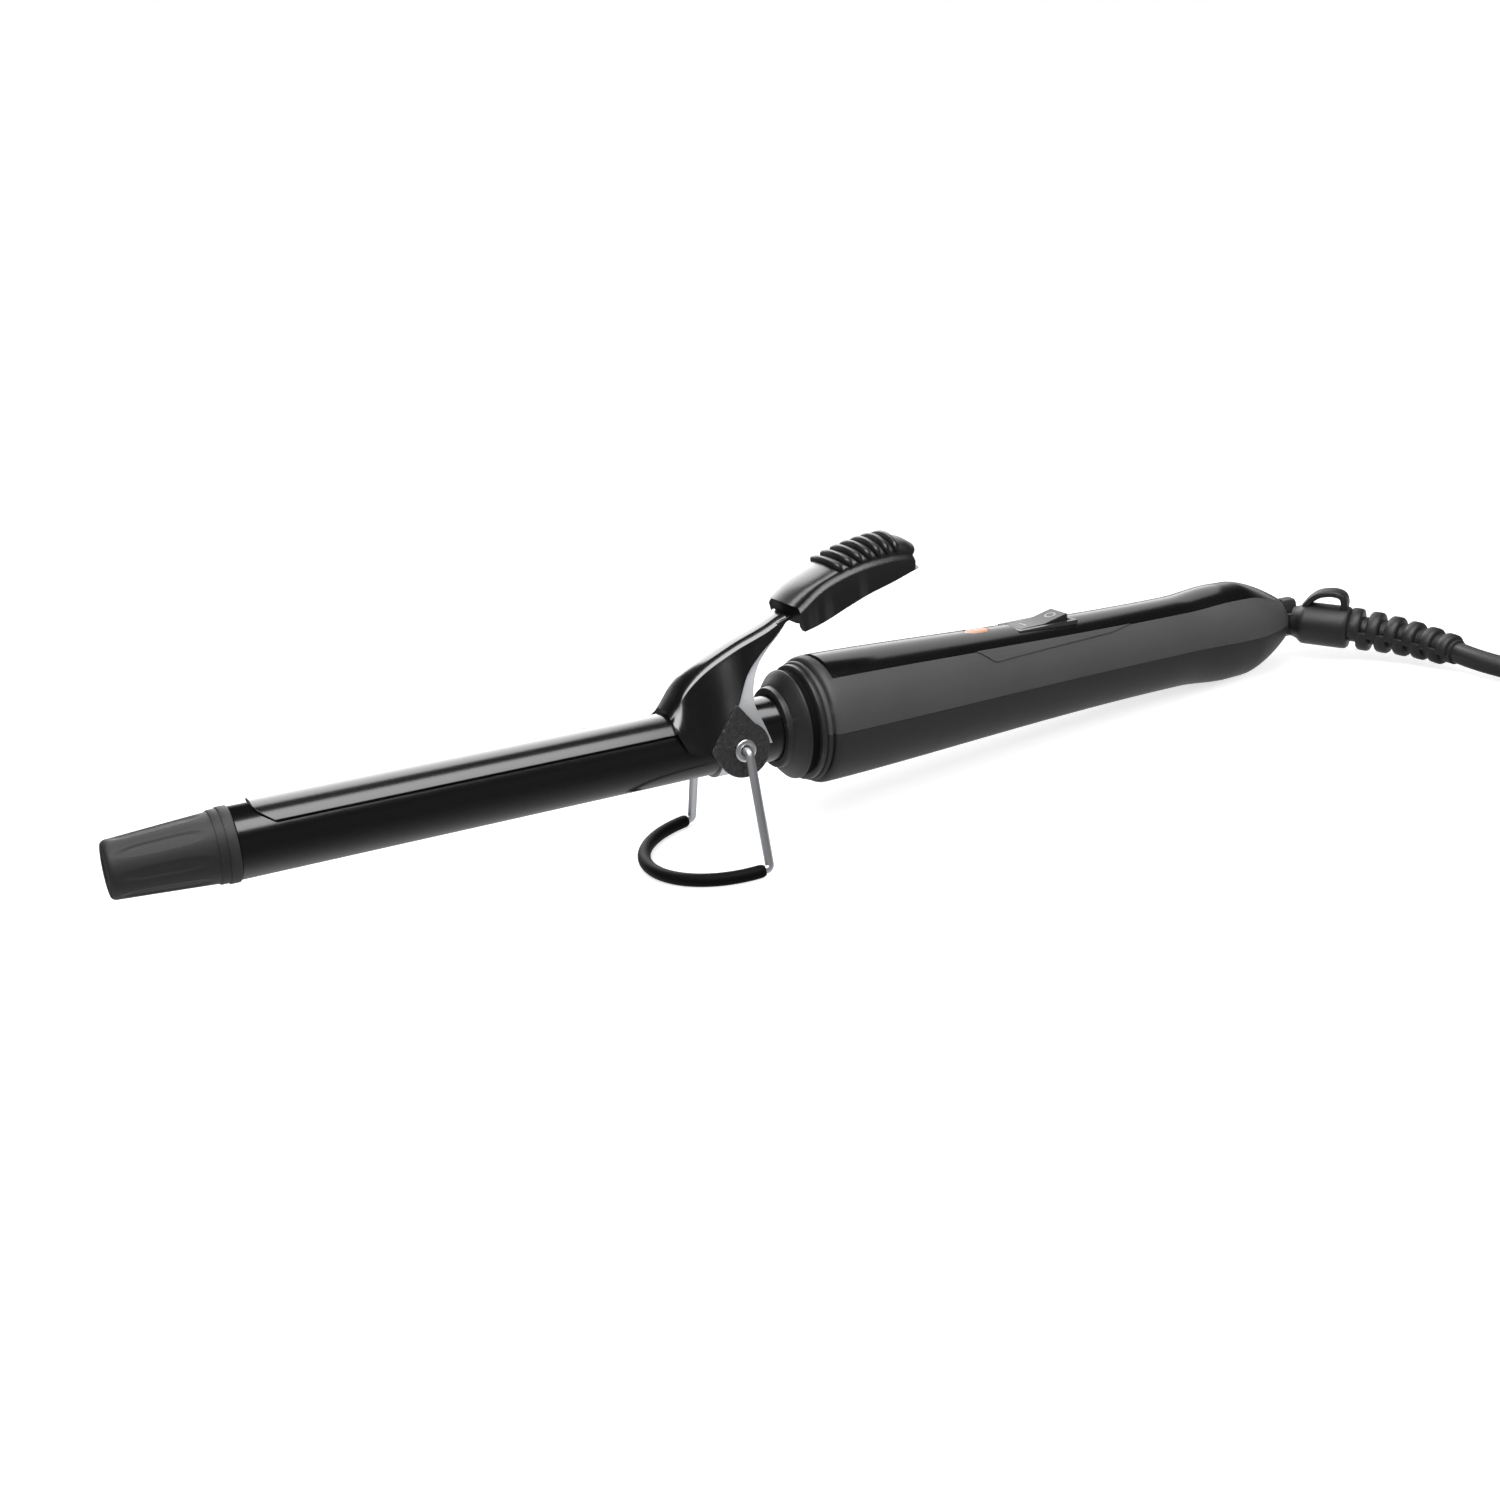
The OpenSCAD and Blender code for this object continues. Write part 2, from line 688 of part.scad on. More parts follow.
module stand_sleeve() {
    color("#18181a") in_place() at_foot() rotate([0, 0, 180 - sleeve_sweep / 2])
        rotate_extrude(angle = sleeve_sweep) translate([stand_foot_r, 0]) difference() {
            circle(d = stand_sleeve_d);
            circle(d = stand_wire_d + 2 * seat);
        }
}

module heat_spreaders() {
    gap = ptc_t / 2 + strip_t;
    color("#c4c8cc") in_place() both_halves() intersection() {
        disc_x(heater_from, heater_to, spreader_r);
        translate([heater_from, -bore_r, gap]) cube([heater_len, 2 * bore_r, bore_r]);
    }
}

module both_halves() {
    children();
    mirror([0, 0, 1]) children();
}

module ptc_elements() {
    step = heater_len / ptc_count;
    color("#3b3f46") in_place() for (i = [0 : ptc_count - 1])
        translate([heater_from + (i + 0.5) * step - ptc_len / 2, -ptc_w / 2, -ptc_t / 2])
            cube([ptc_len, ptc_w, ptc_t]);
}

module electrode_strips() {
    color("#caa472") in_place() {
        electrode(1);
        rotate([180, 0, 0]) electrode(1);
    }
}

// A contact strip with a narrow tab at its rear end
module electrode(side) {
    translate([heater_from + 1, -strip_w / 2, ptc_t / 2]) cube([heater_len - 1, strip_w, strip_t]);
    translate([heater_to - 1, lead_side - 1, ptc_t / 2]) cube([tab_to - heater_to + 1, 2, strip_t]);
}

module heater_film() {
    color("#c98a2b") in_place()
        tube_x(heater_from - 1, heater_to + 1, spreader_r + seat + film_t, spreader_r + seat);
}

lead_h = ptc_t / 2 + strip_t + lead_d / 2;

module thermal_fuse() {
    color("#e6e2d6") in_place()
        translate([fuse_at, -lead_side, -lead_h]) rotate([0, 90, 0]) cylinder(d = fuse_d, h = fuse_len);
}

// Insulated leads from the heater's tabs to the front edge of the board
module heater_leads() {
    bend = [barrel_rear + 1, lead_side + 1.6, lead_h];
    end = [board_from + 2, lead_side + 2.6, board_top + seat + lead_d / 2];
    rise = [board_from - 2, end.y, end.z];
    low_bend = [bend.x, -bend.y, -lead_h];
    low_rise = [rise.x, -rise.y, rise.z];
    low_end = [end.x, -end.y, end.z];
    color("#e8e4dc") in_place() {
        swept([[tab_to - 2, lead_side, lead_h], [barrel_rear - 8, lead_side, lead_h], bend,
               rise, end], lead_d / 2);
        swept([[tab_to - 2, -lead_side, -lead_h], [fuse_at, -lead_side, -lead_h]], lead_d / 2);
        swept([[fuse_at + fuse_len, -lead_side, -lead_h], [barrel_rear - 8, -lead_side, -lead_h],
               low_bend, low_rise, low_end], lead_d / 2);
    }
}

module supply_leads() {
    color("#6b4a2b") in_place() for (side = [-1, 1])
        swept([[board_to - 3, side * 5.4, board_top + lead_d / 2],
               [board_to + 3, side * 6, board_top + lead_d / 2],
               [housing_at - 2.4, side * brush_y, lead_d / 2]], lead_d / 2);
}

module barrel_bush() {
    color("#8a6a4a") in_place() tube_x(bush_at, barrel_rear - 1, bush_r, barrel_r + seat);
}

// The stepped nose ring ahead of the shells, with a spigot inside them
module front_collar() {
    mid_r = (collar_front_r + collar_r) / 2;
    color("#37383a") in_place() turned([
        [collar_at, collar_bore_r], [collar_at, collar_front_r - 0.4],
        [collar_at + 0.4, collar_front_r], [collar_at + 1.3, collar_front_r],
        [collar_at + 1.6, collar_front_r + 0.7], [collar_at + 3, mid_r - 0.3],
        [collar_at + 3.2, mid_r + 0.2], [groove_at, collar_r - 0.6],
        [groove_at, collar_r - groove_depth], [groove_at + groove_w, collar_r - groove_depth],
        [groove_at + groove_w, collar_r - 0.3], [groove_at + groove_w + 0.4, collar_r],
        [shell_at - 0.3, collar_r], [shell_at, collar_r - 0.3],
        [shell_at, spigot_r], [bush_at - 3, spigot_r],
        [bush_at - 3, collar_bore_r],
    ]);
}

// One half of the handle's skin with the ribs that hold the bush and the swivel
module half_shell(about) {
    turned(concat(
        [[shell_at, shell_front_r]],
        skin(chamfer_end, handle_end, 0),
        [[handle_end, neck_r + pivot_clear], [shoulder_at, neck_r + pivot_clear]],
        backwards(skin(chamfer_end, shoulder_at, -shell_wall)),
        [[shell_at, shell_front_r - shell_wall]]
    ), 180, about);
    inner_rib(bush_at + 1, bush_r + seat, about);
    inner_rib(barrel_rear - 4, bush_r + seat, about);
    inner_rib(housing_at + 2, housing_r + seat, about);
    inner_rib(shoulder_at - 6, housing_r + seat, about);
}

module inner_rib(x, hole_r, about) {
    turned([
        [x, hole_r], [x + rib_t, hole_r],
        [x + rib_t, handle_r(x + rib_t) - shell_wall + overlap],
        [x, handle_r(x) - shell_wall + overlap],
    ], 180, about);
}

module handle_lower() {
    color("#3c3d3f") in_place() difference() {
        union() {
            half_shell(180);
            for (x = screw_at) translate([x, 0, -handle_r(x) + 1])
                cylinder(d = screw_boss_d, h = handle_r(x) - 1 - seat);
            for (x = post_at) translate([x, 0, -handle_r(x) + 1])
                cylinder(d = post_d, h = handle_r(x) - 1 + board_h);
        }
        for (x = screw_at) translate([x, 0, 0]) {
            translate([0, 0, -front_r]) cylinder(d = screw_head_d + 0.4, h = front_r + screw_head_at);
            translate([0, 0, -front_r]) cylinder(d = screw_d + 0.4, h = front_r + 1);
        }
    }
}

// A channel that follows the top of the handle, as deep as the strip is thick
module panel_band(low, high, half_angle, rise) {
    turned(concat(skin(low, high, rise), backwards(skin(low, high, -panel_t))), 2 * half_angle);
}

// The raised step round the controls, seen from above
module step_outline() {
    side = [for (p = step_plan) [p.x, p.y * handle_r(p.x)]];
    linear_extrude(front_r) polygon(concat(side, [for (p = backwards(side)) [p.x, -p.y]]));
}

module handle_upper() {
    color("#444547") in_place() difference() {
        union() {
            half_shell(0);
            intersection() {
                turned(concat(skin(step_plan[0].x - 1, step_plan[3].x + 1, step_rise),
                              backwards(skin(step_plan[0].x - 1, step_plan[3].x + 1, -1))), 140);
                step_outline();
            }
            for (x = screw_at) translate([x, 0, 0]) cylinder(d = screw_boss_d, h = handle_r(x) - panel_t - 0.6);
        }
        panel_band(panel_at, panel_end, panel_half_angle, 1);
        for (x = screw_at) translate([x, 0, -1]) cylinder(d = screw_d, h = screw_tip_at + 1.5);
        control_holes(0);
    }
}

// Openings for the lamp and the switch through the strip and the shell
module control_holes(gap) {
    translate([lens_at, 0, 0]) lens_outline(gap + seat) ;
    translate([rocker_at, 0, 0]) translate([-switch_out_len / 2 - seat - gap, -switch_out_w / 2 - seat - gap, board_top])
        cube([switch_out_len + 2 * seat + 2 * gap, switch_out_w + 2 * seat + 2 * gap, front_r]);
}

module lens_outline(gap) {
    half = (lens_len - lens_w) / 2;
    for (side = [-1, 1]) translate([side * half, 0, board_top + led_h])
        cylinder(d = lens_w + 2 * gap, h = front_r);
    translate([-half, -lens_w / 2 - gap, board_top + led_h]) cube([2 * half, lens_w + 2 * gap, front_r]);
}

module top_panel() {
    color("#0d0d0f") in_place() difference() {
        panel_band(panel_at + seat, panel_end - seat, panel_half_angle - panel_gap, 0);
        control_holes(0);
    }
}

module lamp_lens() {
    top = handle_r(lens_at) + 0.3;
    color("#e0602a") in_place() translate([lens_at, 0, 0]) intersection() {
        lens_outline(0);
        translate([-lens_len, -lens_w, 0]) cube([2 * lens_len, 2 * lens_w, top]);
        translate([0, 0, top - 20]) rotate([0, 90, 0]) cylinder(r = 20, h = 2 * lens_len, center = true, $fn = 96);
    }
}

module indicator_led() {
    color("#f2a27c") in_place() translate([lens_at, 0, board_top]) {
        cylinder(d = led_d + 0.8, h = 0.8);
        cylinder(d = led_d, h = led_h - led_d / 2 - 0.2);
        translate([0, 0, led_h - led_d / 2 - 0.2]) sphere(d = led_d);
    }
}

module circuit_board() {
    color("#2e6b3a") in_place() translate([board_from, -board_w / 2, board_h])
        cube([board_to - board_from, board_w, board_t]);
}

// Two resistors and a diode lying on the board, with a fuse block beside the switch
module board_parts() {
    color("#a8743f") in_place() {
        for (x = [104, 109]) translate([x, -4, board_top + 1.1]) rotate([-90, 0, 0]) cylinder(d = 2.2, h = 7);
        translate([113, -2.5, board_top]) cube([4, 5, 3]);
    }
}

module switch_body() {
    in_floor = rocker_axis_h - 3.2;
    color("#1b1b1d") in_place() translate([rocker_at, 0, 0]) difference() {
        translate([-switch_out_len / 2, -switch_out_w / 2, board_top])
            cube([switch_out_len, switch_out_w, switch_top - board_top]);
        translate([-switch_in_len / 2, -switch_in_w / 2, in_floor])
            cube([switch_in_len, switch_in_w, switch_top]);
        translate([0, 0, rocker_axis_h])
            disc_y(-switch_out_w / 2 + 0.4, switch_out_w / 2 - 0.4, rocker_pin_d / 2 + pivot_clear);
    }
}

module switch_terminals() {
    color("#c9a24a") in_place() for (x = [-5, 5]) translate([rocker_at + x, 0, 0])
        translate([-0.4, -1.5, board_h - 2.4]) cube([0.8, 3, 2.4]);
}

// A shallow V on top, so that each half lies level when it is pressed
module switch_rocker() {
    half = rocker_len / 2;
    color("#202022") in_place() translate([rocker_at, 0, rocker_axis_h]) rotate([0, -rocker_tilt, 0]) {
        plate_y(-rocker_w / 2, rocker_w / 2)
            polygon([[-half, 3.6], [0, 2.9], [half, 3.6], [half - 0.3, 0.6], [3, -1.4], [-3, -1.4],
                     [-half + 0.3, 0.6]]);
        disc_y(-rocker_w / 2 - 1, rocker_w / 2 + 1, rocker_pin_d / 2);
    }
}

module handle_screws() {
    color("#9a9da1") in_place() for (x = screw_at) translate([x, 0, 0]) difference() {
        union() {
            translate([0, 0, screw_head_at - 2]) cylinder(d = screw_head_d, h = 2);
            translate([0, 0, screw_head_at - 0.1]) cylinder(d = screw_d - 0.1, h = screw_tip_at - screw_head_at);
        }
        for (a = [0, 90]) rotate([0, 0, a]) translate([-1.6, -0.35, screw_head_at - 3]) cube([3.2, 0.7, 2]);
    }
}

brush_y = housing_bore_r - 1;

module swivel_housing() {
    color("#5a5348") in_place()
        tube_x(housing_at, shoulder_at - seat, housing_r, housing_bore_r);
}

// Spring blades inside the housing, one for each slip ring
module swivel_brushes() {
    color("#d0a850") in_place() {
        brush(ring_at[0]);
        mirror([0, 1, 0]) brush(ring_at[1]);
    }
}

module brush(x) {
    inner = ring_r + 0.25;
    outer = sqrt(housing_bore_r * housing_bore_r - brush_w * brush_w / 4) - 0.05;
    translate([x - ring_w / 2, inner, -brush_w / 2]) cube([ring_w, outer - inner, brush_w]);
    translate([housing_at - 2, outer - 0.5, -brush_w / 2]) cube([x - housing_at + 2, 0.5, brush_w]);
}

// The part of the swivel that turns: drum, flange, neck and the fork for the tilt pin
module swivel_rotor() {
    color("#202022") at_swivel() difference() {
        union() {
            translate([-tilt_at, 0, 0]) {
                disc_x(drum_at, shoulder_at - flange_len, drum_r);
                disc_x(shoulder_at - flange_len - free, shoulder_at - free, flange_r);
                disc_x(shoulder_at - free - overlap, tilt_at - fork_r - 0.4, neck_r);
            }
            intersection() {
                union() {
                    translate([-fork_r - 1, -fork_r, -fork_half]) cube([fork_r + 1, 2 * fork_r, 2 * fork_half]);
                    translate([0, 0, -fork_half]) cylinder(r = fork_r, h = 2 * fork_half);
                }
                disc_x(-fork_r - 1, fork_r + 1, neck_r);
            }
        }
        translate([-fork_r - 0.35, -fork_r - 1, -fork_in]) cube([2 * fork_r + 2, 2 * fork_r + 2, 2 * fork_in]);
        translate([0, 0, -fork_half - 1]) cylinder(d = tilt_pin_d + 0.04, h = 2 * fork_half + 2);
    }
}

module slip_rings() {
    color("#d9b45a") in_place() for (x = ring_at)
        tube_x(x - ring_w / 2, x + ring_w / 2, ring_r, drum_r + 0.02);
}

module tilt_pin() {
    color("#b4b7bb") at_swivel()
        translate([0, 0, -fork_half + 0.5]) cylinder(d = tilt_pin_d, h = 2 * fork_half - 1);
}

// Moulded strain relief: a knuckle on the tilt pin, a sleeve with a hanging loop on top,
// and a bent run of half rings that alternate above and below
module strain_relief() {
    color("#242426") at_swivel(swivel_tilt) {
        difference() {
            union() {
                translate([0, 0, -knuckle_half]) cylinder(r = knuckle_r, h = 2 * knuckle_half);
                translate([0, 0, -knuckle_half]) linear_extrude(2 * knuckle_half) neck_plan();
            }
            translate([0, 0, -fork_half]) cylinder(d = tilt_pin_d + 2 * pivot_clear, h = 2 * fork_half);
        }
        turned([
            [relief_neck_at, 0], [relief_neck_at, relief_neck_r],
            [relief_shoulder_at, relief_r], [relief_sleeve - 2, relief_r],
            [relief_sleeve, relief_r - 0.5], [relief_sleeve, 0],
        ]);
        hang_loop();
        translate([relief_sleeve, -relief_bend_r, 0]) rotate([0, 0, 90 - relief_bend])
            rotate_extrude(angle = relief_bend) translate([relief_bend_r, 0]) circle(r = relief_core_r);
        for (i = [0 : relief_rings - 1]) {
            half_ring((i + 0.3) * ring_pitch, 0);
            if (i < relief_rings - 1) half_ring((i + 0.8) * ring_pitch, 180);
        }
    }
}

// The neck seen from above, narrow enough beside the pin to clear the end of the handle
module neck_plan() {
    side = [[0, knuckle_neck], [relief_neck_at - 1.6, knuckle_neck],
            [relief_neck_at, relief_neck_r], [relief_neck_at + 1, relief_neck_r]];
    polygon(concat(side, [for (p = backwards(side)) [p.x, -p.y]]));
}

module half_ring(angle, roll) {
    r = relief_r - (relief_r - relief_end_r) * angle / relief_bend;
    translate(bend_point(angle)) rotate([0, 0, -angle]) rotate([roll, 0, 0]) intersection() {
        disc_x(-ring_thick / 2, ring_thick / 2, r);
        translate([-ring_thick, -r, -0.8]) cube([2 * ring_thick, 2 * r, 2 * r]);
    }
}

// The loop rises from the front of the sleeve, arches back and comes down at its end
module hang_loop() {
    top = relief_r + loop_h;
    plate_y(-loop_w / 2, loop_w / 2) difference() {
        polygon([
            [loop_from - 2, relief_r - 1], [loop_from + 1.5, relief_r + 2.6],
            [loop_from + 4.5, top - 0.3], [loop_to - 3.5, top], [loop_to - 1, top - 1],
            [loop_to, top - 3], [loop_to, relief_r - 1],
        ]);
        polygon([
            [loop_from + 2.6, relief_r - 0.4], [loop_from + 5, top - loop_t - 0.2],
            [loop_to - 3.8, top - loop_t], [loop_to - loop_t, top - loop_t - 1.4],
            [loop_to - loop_t, relief_r - 0.4],
        ]);
    }
}

module cord_lead() {
    color("#1d1d1f") swept(concat([relief_tip], lead_route), cord_r, 10);
}

module cord_coil() {
    low = coil_base - cord_r;
    in_r = coil_in_r - cord_r;
    color("#1d1d1f") translate([coil_at.x, coil_at.y, low]) rotate_extrude()
        translate([in_r, 0]) square([coil_out_r + cord_r - in_r, 2 * cord_d]);
}

// A strip wrapped once round the turns
module cord_tie() {
    w = coil_out_r - coil_in_r + cord_d;
    color("#2b2b2e") translate([coil_at.x, coil_at.y, coil_base - cord_r]) rotate([0, 0, tie_angle])
        translate([(coil_in_r + coil_out_r) / 2, 0, cord_d]) rotate([90, 0, 0])
            linear_extrude(tie_w, center = true) difference() {
                square([w + 2 * tie_t + 0.6, 2 * cord_d + 2 * tie_t + 0.1], center = true);
                square([w + 0.6, 2 * cord_d + 0.1], center = true);
            }
}

module cord_tail() {
    color("#1d1d1f") swept(tail_route, cord_r, 10);
}

// A two-pin plug lying flat on the coil, with its own tapered strain relief
module plug_body() {
    grip = 16;
    neck = 12;
    color("#1b1b1d") translate(plug_at) rotate([0, 0, 180]) {
        rotate([-90, 0, 0]) cylinder(d1 = cord_d + 2, d2 = cord_d + 5, h = neck);
        hull() {
            translate([0, neck - 1, 0]) plug_slice(16, 14, 1);
            translate([0, grip, 0]) plug_slice(22, 18, 1);
        }
        hull() {
            translate([0, grip, 0]) plug_slice(22, 18, 1);
            translate([0, grip + 8, 0]) plug_slice(plug_w, plug_h, 1);
        }
        translate([0, grip + 8, 0]) plug_slice(plug_w, plug_h, plug_len - grip - 8);
    }
}

module plug_slice(w, h, depth) {
    r = h * 0.36;
    rotate([-90, 0, 0]) linear_extrude(depth) {
        square([w - 2 * r, h], center = true);
        square([w, h - 2 * r], center = true);
        for (sx = [-1, 1]) for (sy = [-1, 1])
            translate([sx * (w / 2 - r), sy * (h / 2 - r)]) circle(r = r, $fn = 32);
    }
}

module plug_pins() {
    color("#d6d8da") translate(plug_at) rotate([0, 0, 180]) for (side = [-1, 1])
        translate([side * plug_pin_pitch / 2, plug_len, 0]) rotate([-90, 0, 0]) {
            cylinder(d = plug_pin_d, h = plug_pin_len - plug_pin_d / 2);
            translate([0, 0, plug_pin_len - plug_pin_d / 2]) sphere(d = plug_pin_d);
        }
}

cool_tip();
barrel();
clamp();
lever();
thumb_rest();
return_springs();
pivot_bracket();
pivot_rivets();
stand_wire();
stand_sleeve();
heat_spreaders();
ptc_elements();
electrode_strips();
heater_film();
thermal_fuse();
barrel_bush();
front_collar();
handle_lower();
handle_upper();
top_panel();
lamp_lens();
indicator_led();
circuit_board();
board_parts();
switch_body();
switch_terminals();
switch_rocker();
handle_screws();
heater_leads();
supply_leads();
swivel_housing();
swivel_brushes();
swivel_rotor();
slip_rings();
tilt_pin();
strain_relief();
cord_lead();
cord_coil();
cord_tie();
cord_tail();
plug_body();
plug_pins();
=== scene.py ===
import math
import bpy
import bmesh
from mathutils import Matrix, Vector


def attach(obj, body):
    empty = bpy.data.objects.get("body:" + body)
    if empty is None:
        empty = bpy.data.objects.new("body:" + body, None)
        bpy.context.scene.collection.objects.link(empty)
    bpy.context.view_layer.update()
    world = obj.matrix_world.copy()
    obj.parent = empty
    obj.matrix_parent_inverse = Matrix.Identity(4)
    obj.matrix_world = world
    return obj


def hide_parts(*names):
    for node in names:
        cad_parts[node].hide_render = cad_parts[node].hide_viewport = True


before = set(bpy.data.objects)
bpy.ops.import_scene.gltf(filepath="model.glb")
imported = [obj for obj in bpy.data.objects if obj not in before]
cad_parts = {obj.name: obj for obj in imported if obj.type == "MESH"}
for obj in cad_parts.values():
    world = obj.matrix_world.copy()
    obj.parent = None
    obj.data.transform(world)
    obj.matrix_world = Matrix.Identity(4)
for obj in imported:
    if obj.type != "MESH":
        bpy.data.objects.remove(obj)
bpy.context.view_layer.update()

MM = 0.001

# The iron is drawn in millimetres along X, with its pivot at the origin and its tip at low x.
# It leans on the table at two points: the sleeve on the stand's foot and the handle's flare.
LEG, SLEEVE_R = 26.5, 1.75
CONTACT, CONTACT_R = 156.0, 13.0
REST = (math.atan2(LEG - CONTACT_R, CONTACT)
        + math.asin(SLEEVE_R / math.hypot(LEG - CONTACT_R, CONTACT)))
PIVOT_H = LEG * math.cos(REST) + SLEEVE_R
# Its two ends, worked out as in the solids, with their allowance of 0.05, set its place along X
TIP_END, TIP_EDGE_R = -142.7, 5.4
FORK_END, FORK_EDGE_R = 177.5, 5.3
LOW_X = TIP_END * math.cos(REST) - TIP_EDGE_R * math.sin(REST) - 0.05
HIGH_X = FORK_END * math.cos(REST) + FORK_EDGE_R * math.sin(REST)
MID_X = (LOW_X + HIGH_X) / 2
IRON = (Matrix.Scale(MM, 4) @ Matrix.Translation((-MID_X, 0, PIVOT_H))
        @ Matrix.Rotation(REST, 4, "Y"))
TABLE = Matrix.Scale(MM, 4)
TILT_AT, ROLL, SWING = 172.5, math.radians(5), math.radians(55)
SWIVEL = IRON @ Matrix.Translation((TILT_AT, 0, 0)) @ Matrix.Rotation(ROLL, 4, "X")
RELIEF = SWIVEL @ Matrix.Rotation(-SWING, 4, "Z")

# ---------------------------------------------------------------- camera
# Its axes and its place, in metres, come from a fit to the photograph
cam_data = bpy.data.cameras.new("camera")
cam_data.sensor_fit = "HORIZONTAL"
cam_data.sensor_width = 36.0
cam_data.lens = 44.76
cam_data.clip_start = 0.01
cam_data.dof.use_dof = False
camera = bpy.data.objects.new("camera", cam_data)
bpy.context.scene.collection.objects.link(camera)
right = Vector((0.87486527, -0.46118539, -0.14804996))
up = Vector((0.28624009, 0.24569111, 0.92612228))
back = Vector((-0.39073951, -0.85261006, 0.34695637))
spot = Vector((-0.186112, -0.383032, 0.178826))
camera.matrix_world = Matrix((
    (right.x, up.x, back.x, spot.x), (right.y, up.y, back.y, spot.y),
    (right.z, up.z, back.z, spot.z), (0, 0, 0, 1)))
bpy.context.scene.camera = camera


# ---------------------------------------------------------------- materials
def add(tree, kind, inputs=None, **settings):
    """A shader node with its settings, and with its inputs set or linked by name."""
    node = tree.nodes.new("ShaderNode" + kind)
    for name, value in settings.items():
        setattr(node, name, value)
    for name, value in (inputs or {}).items():
        feed(tree, node.inputs[name], value)
    return node


def feed(tree, socket, value):
    if isinstance(value, bpy.types.NodeSocket):
        tree.links.new(value, socket)
    else:
        socket.default_value = value


def maths(tree, operation, one, two):
    node = add(tree, "Math", operation=operation)
    feed(tree, node.inputs[0], one)
    feed(tree, node.inputs[1], two)
    return node.outputs[0]


def shaded(color, factor, lift=0.0):
    return (*[min(1, c * factor + lift) for c in color], 1)


# Pointiness at which an edge begins to look worn, and at which it is fully worn
WORN_FROM, WORN_TO = 0.53, 0.62


def surface(name, color, rough, metallic=0.0, grain=0.0, grain_size=0.5, mottle=0.12,
            mottle_size=14.0, rough_vary=0.08, coat=0.0, ior=1.5, edge=0.0,
            streak=(1, 1, 1), sheen=0.0, spec=0.5, depth=0.1):
    """A moulded, painted or drawn surface: colour drift, fine grain, uneven roughness and
    lighter worn edges. Sizes are in millimetres."""
    mat = bpy.data.materials.new(name)
    mat.use_nodes = True
    tree = mat.node_tree
    bsdf = tree.nodes["Principled BSDF"]
    place = add(tree, "TexCoord").outputs["Object"]
    place = add(tree, "Mapping", {"Scale": streak, "Vector": place}).outputs["Vector"]
    drift = add(tree, "TexNoise", {"Scale": 1000 / mottle_size, "Detail": 4, "Vector": place})
    out = add(tree, "Mix", {"A": shaded(color, 1 - mottle), "B": shaded(color, 1 + mottle),
                            "Factor": drift.outputs["Fac"]}, data_type="RGBA").outputs["Result"]
    if edge:
        worn = add(tree, "MapRange", {"From Min": WORN_FROM, "From Max": WORN_TO, "To Max": edge,
                                      "Value": add(tree, "NewGeometry").outputs["Pointiness"]})
        out = add(tree, "Mix", {"A": out, "B": shaded(color, 1.8, 0.03),
                                "Factor": worn.outputs["Result"]},
                  data_type="RGBA").outputs["Result"]
    feed(tree, bsdf.inputs["Base Color"], out)
    uneven = add(tree, "MapRange", {"To Min": max(0.02, rough - rough_vary),
                                    "To Max": min(1.0, rough + rough_vary),
                                    "Value": drift.outputs["Fac"]})
    feed(tree, bsdf.inputs["Roughness"], uneven.outputs["Result"])
    if grain:
        fine = add(tree, "TexNoise", {"Scale": 1000 / grain_size, "Detail": 3, "Vector": place})
        bump = add(tree, "Bump", {"Strength": grain, "Distance": depth * MM,
                                  "Height": fine.outputs["Fac"]})
        feed(tree, bsdf.inputs["Normal"], bump.outputs["Normal"])
    for socket, value in (("Metallic", metallic), ("IOR", ior), ("Coat Weight", coat),
                          ("Coat Roughness", 0.05), ("Sheen Weight", sheen),
                          ("Specular IOR Level", spec)):
        bsdf.inputs[socket].default_value = value
    return mat


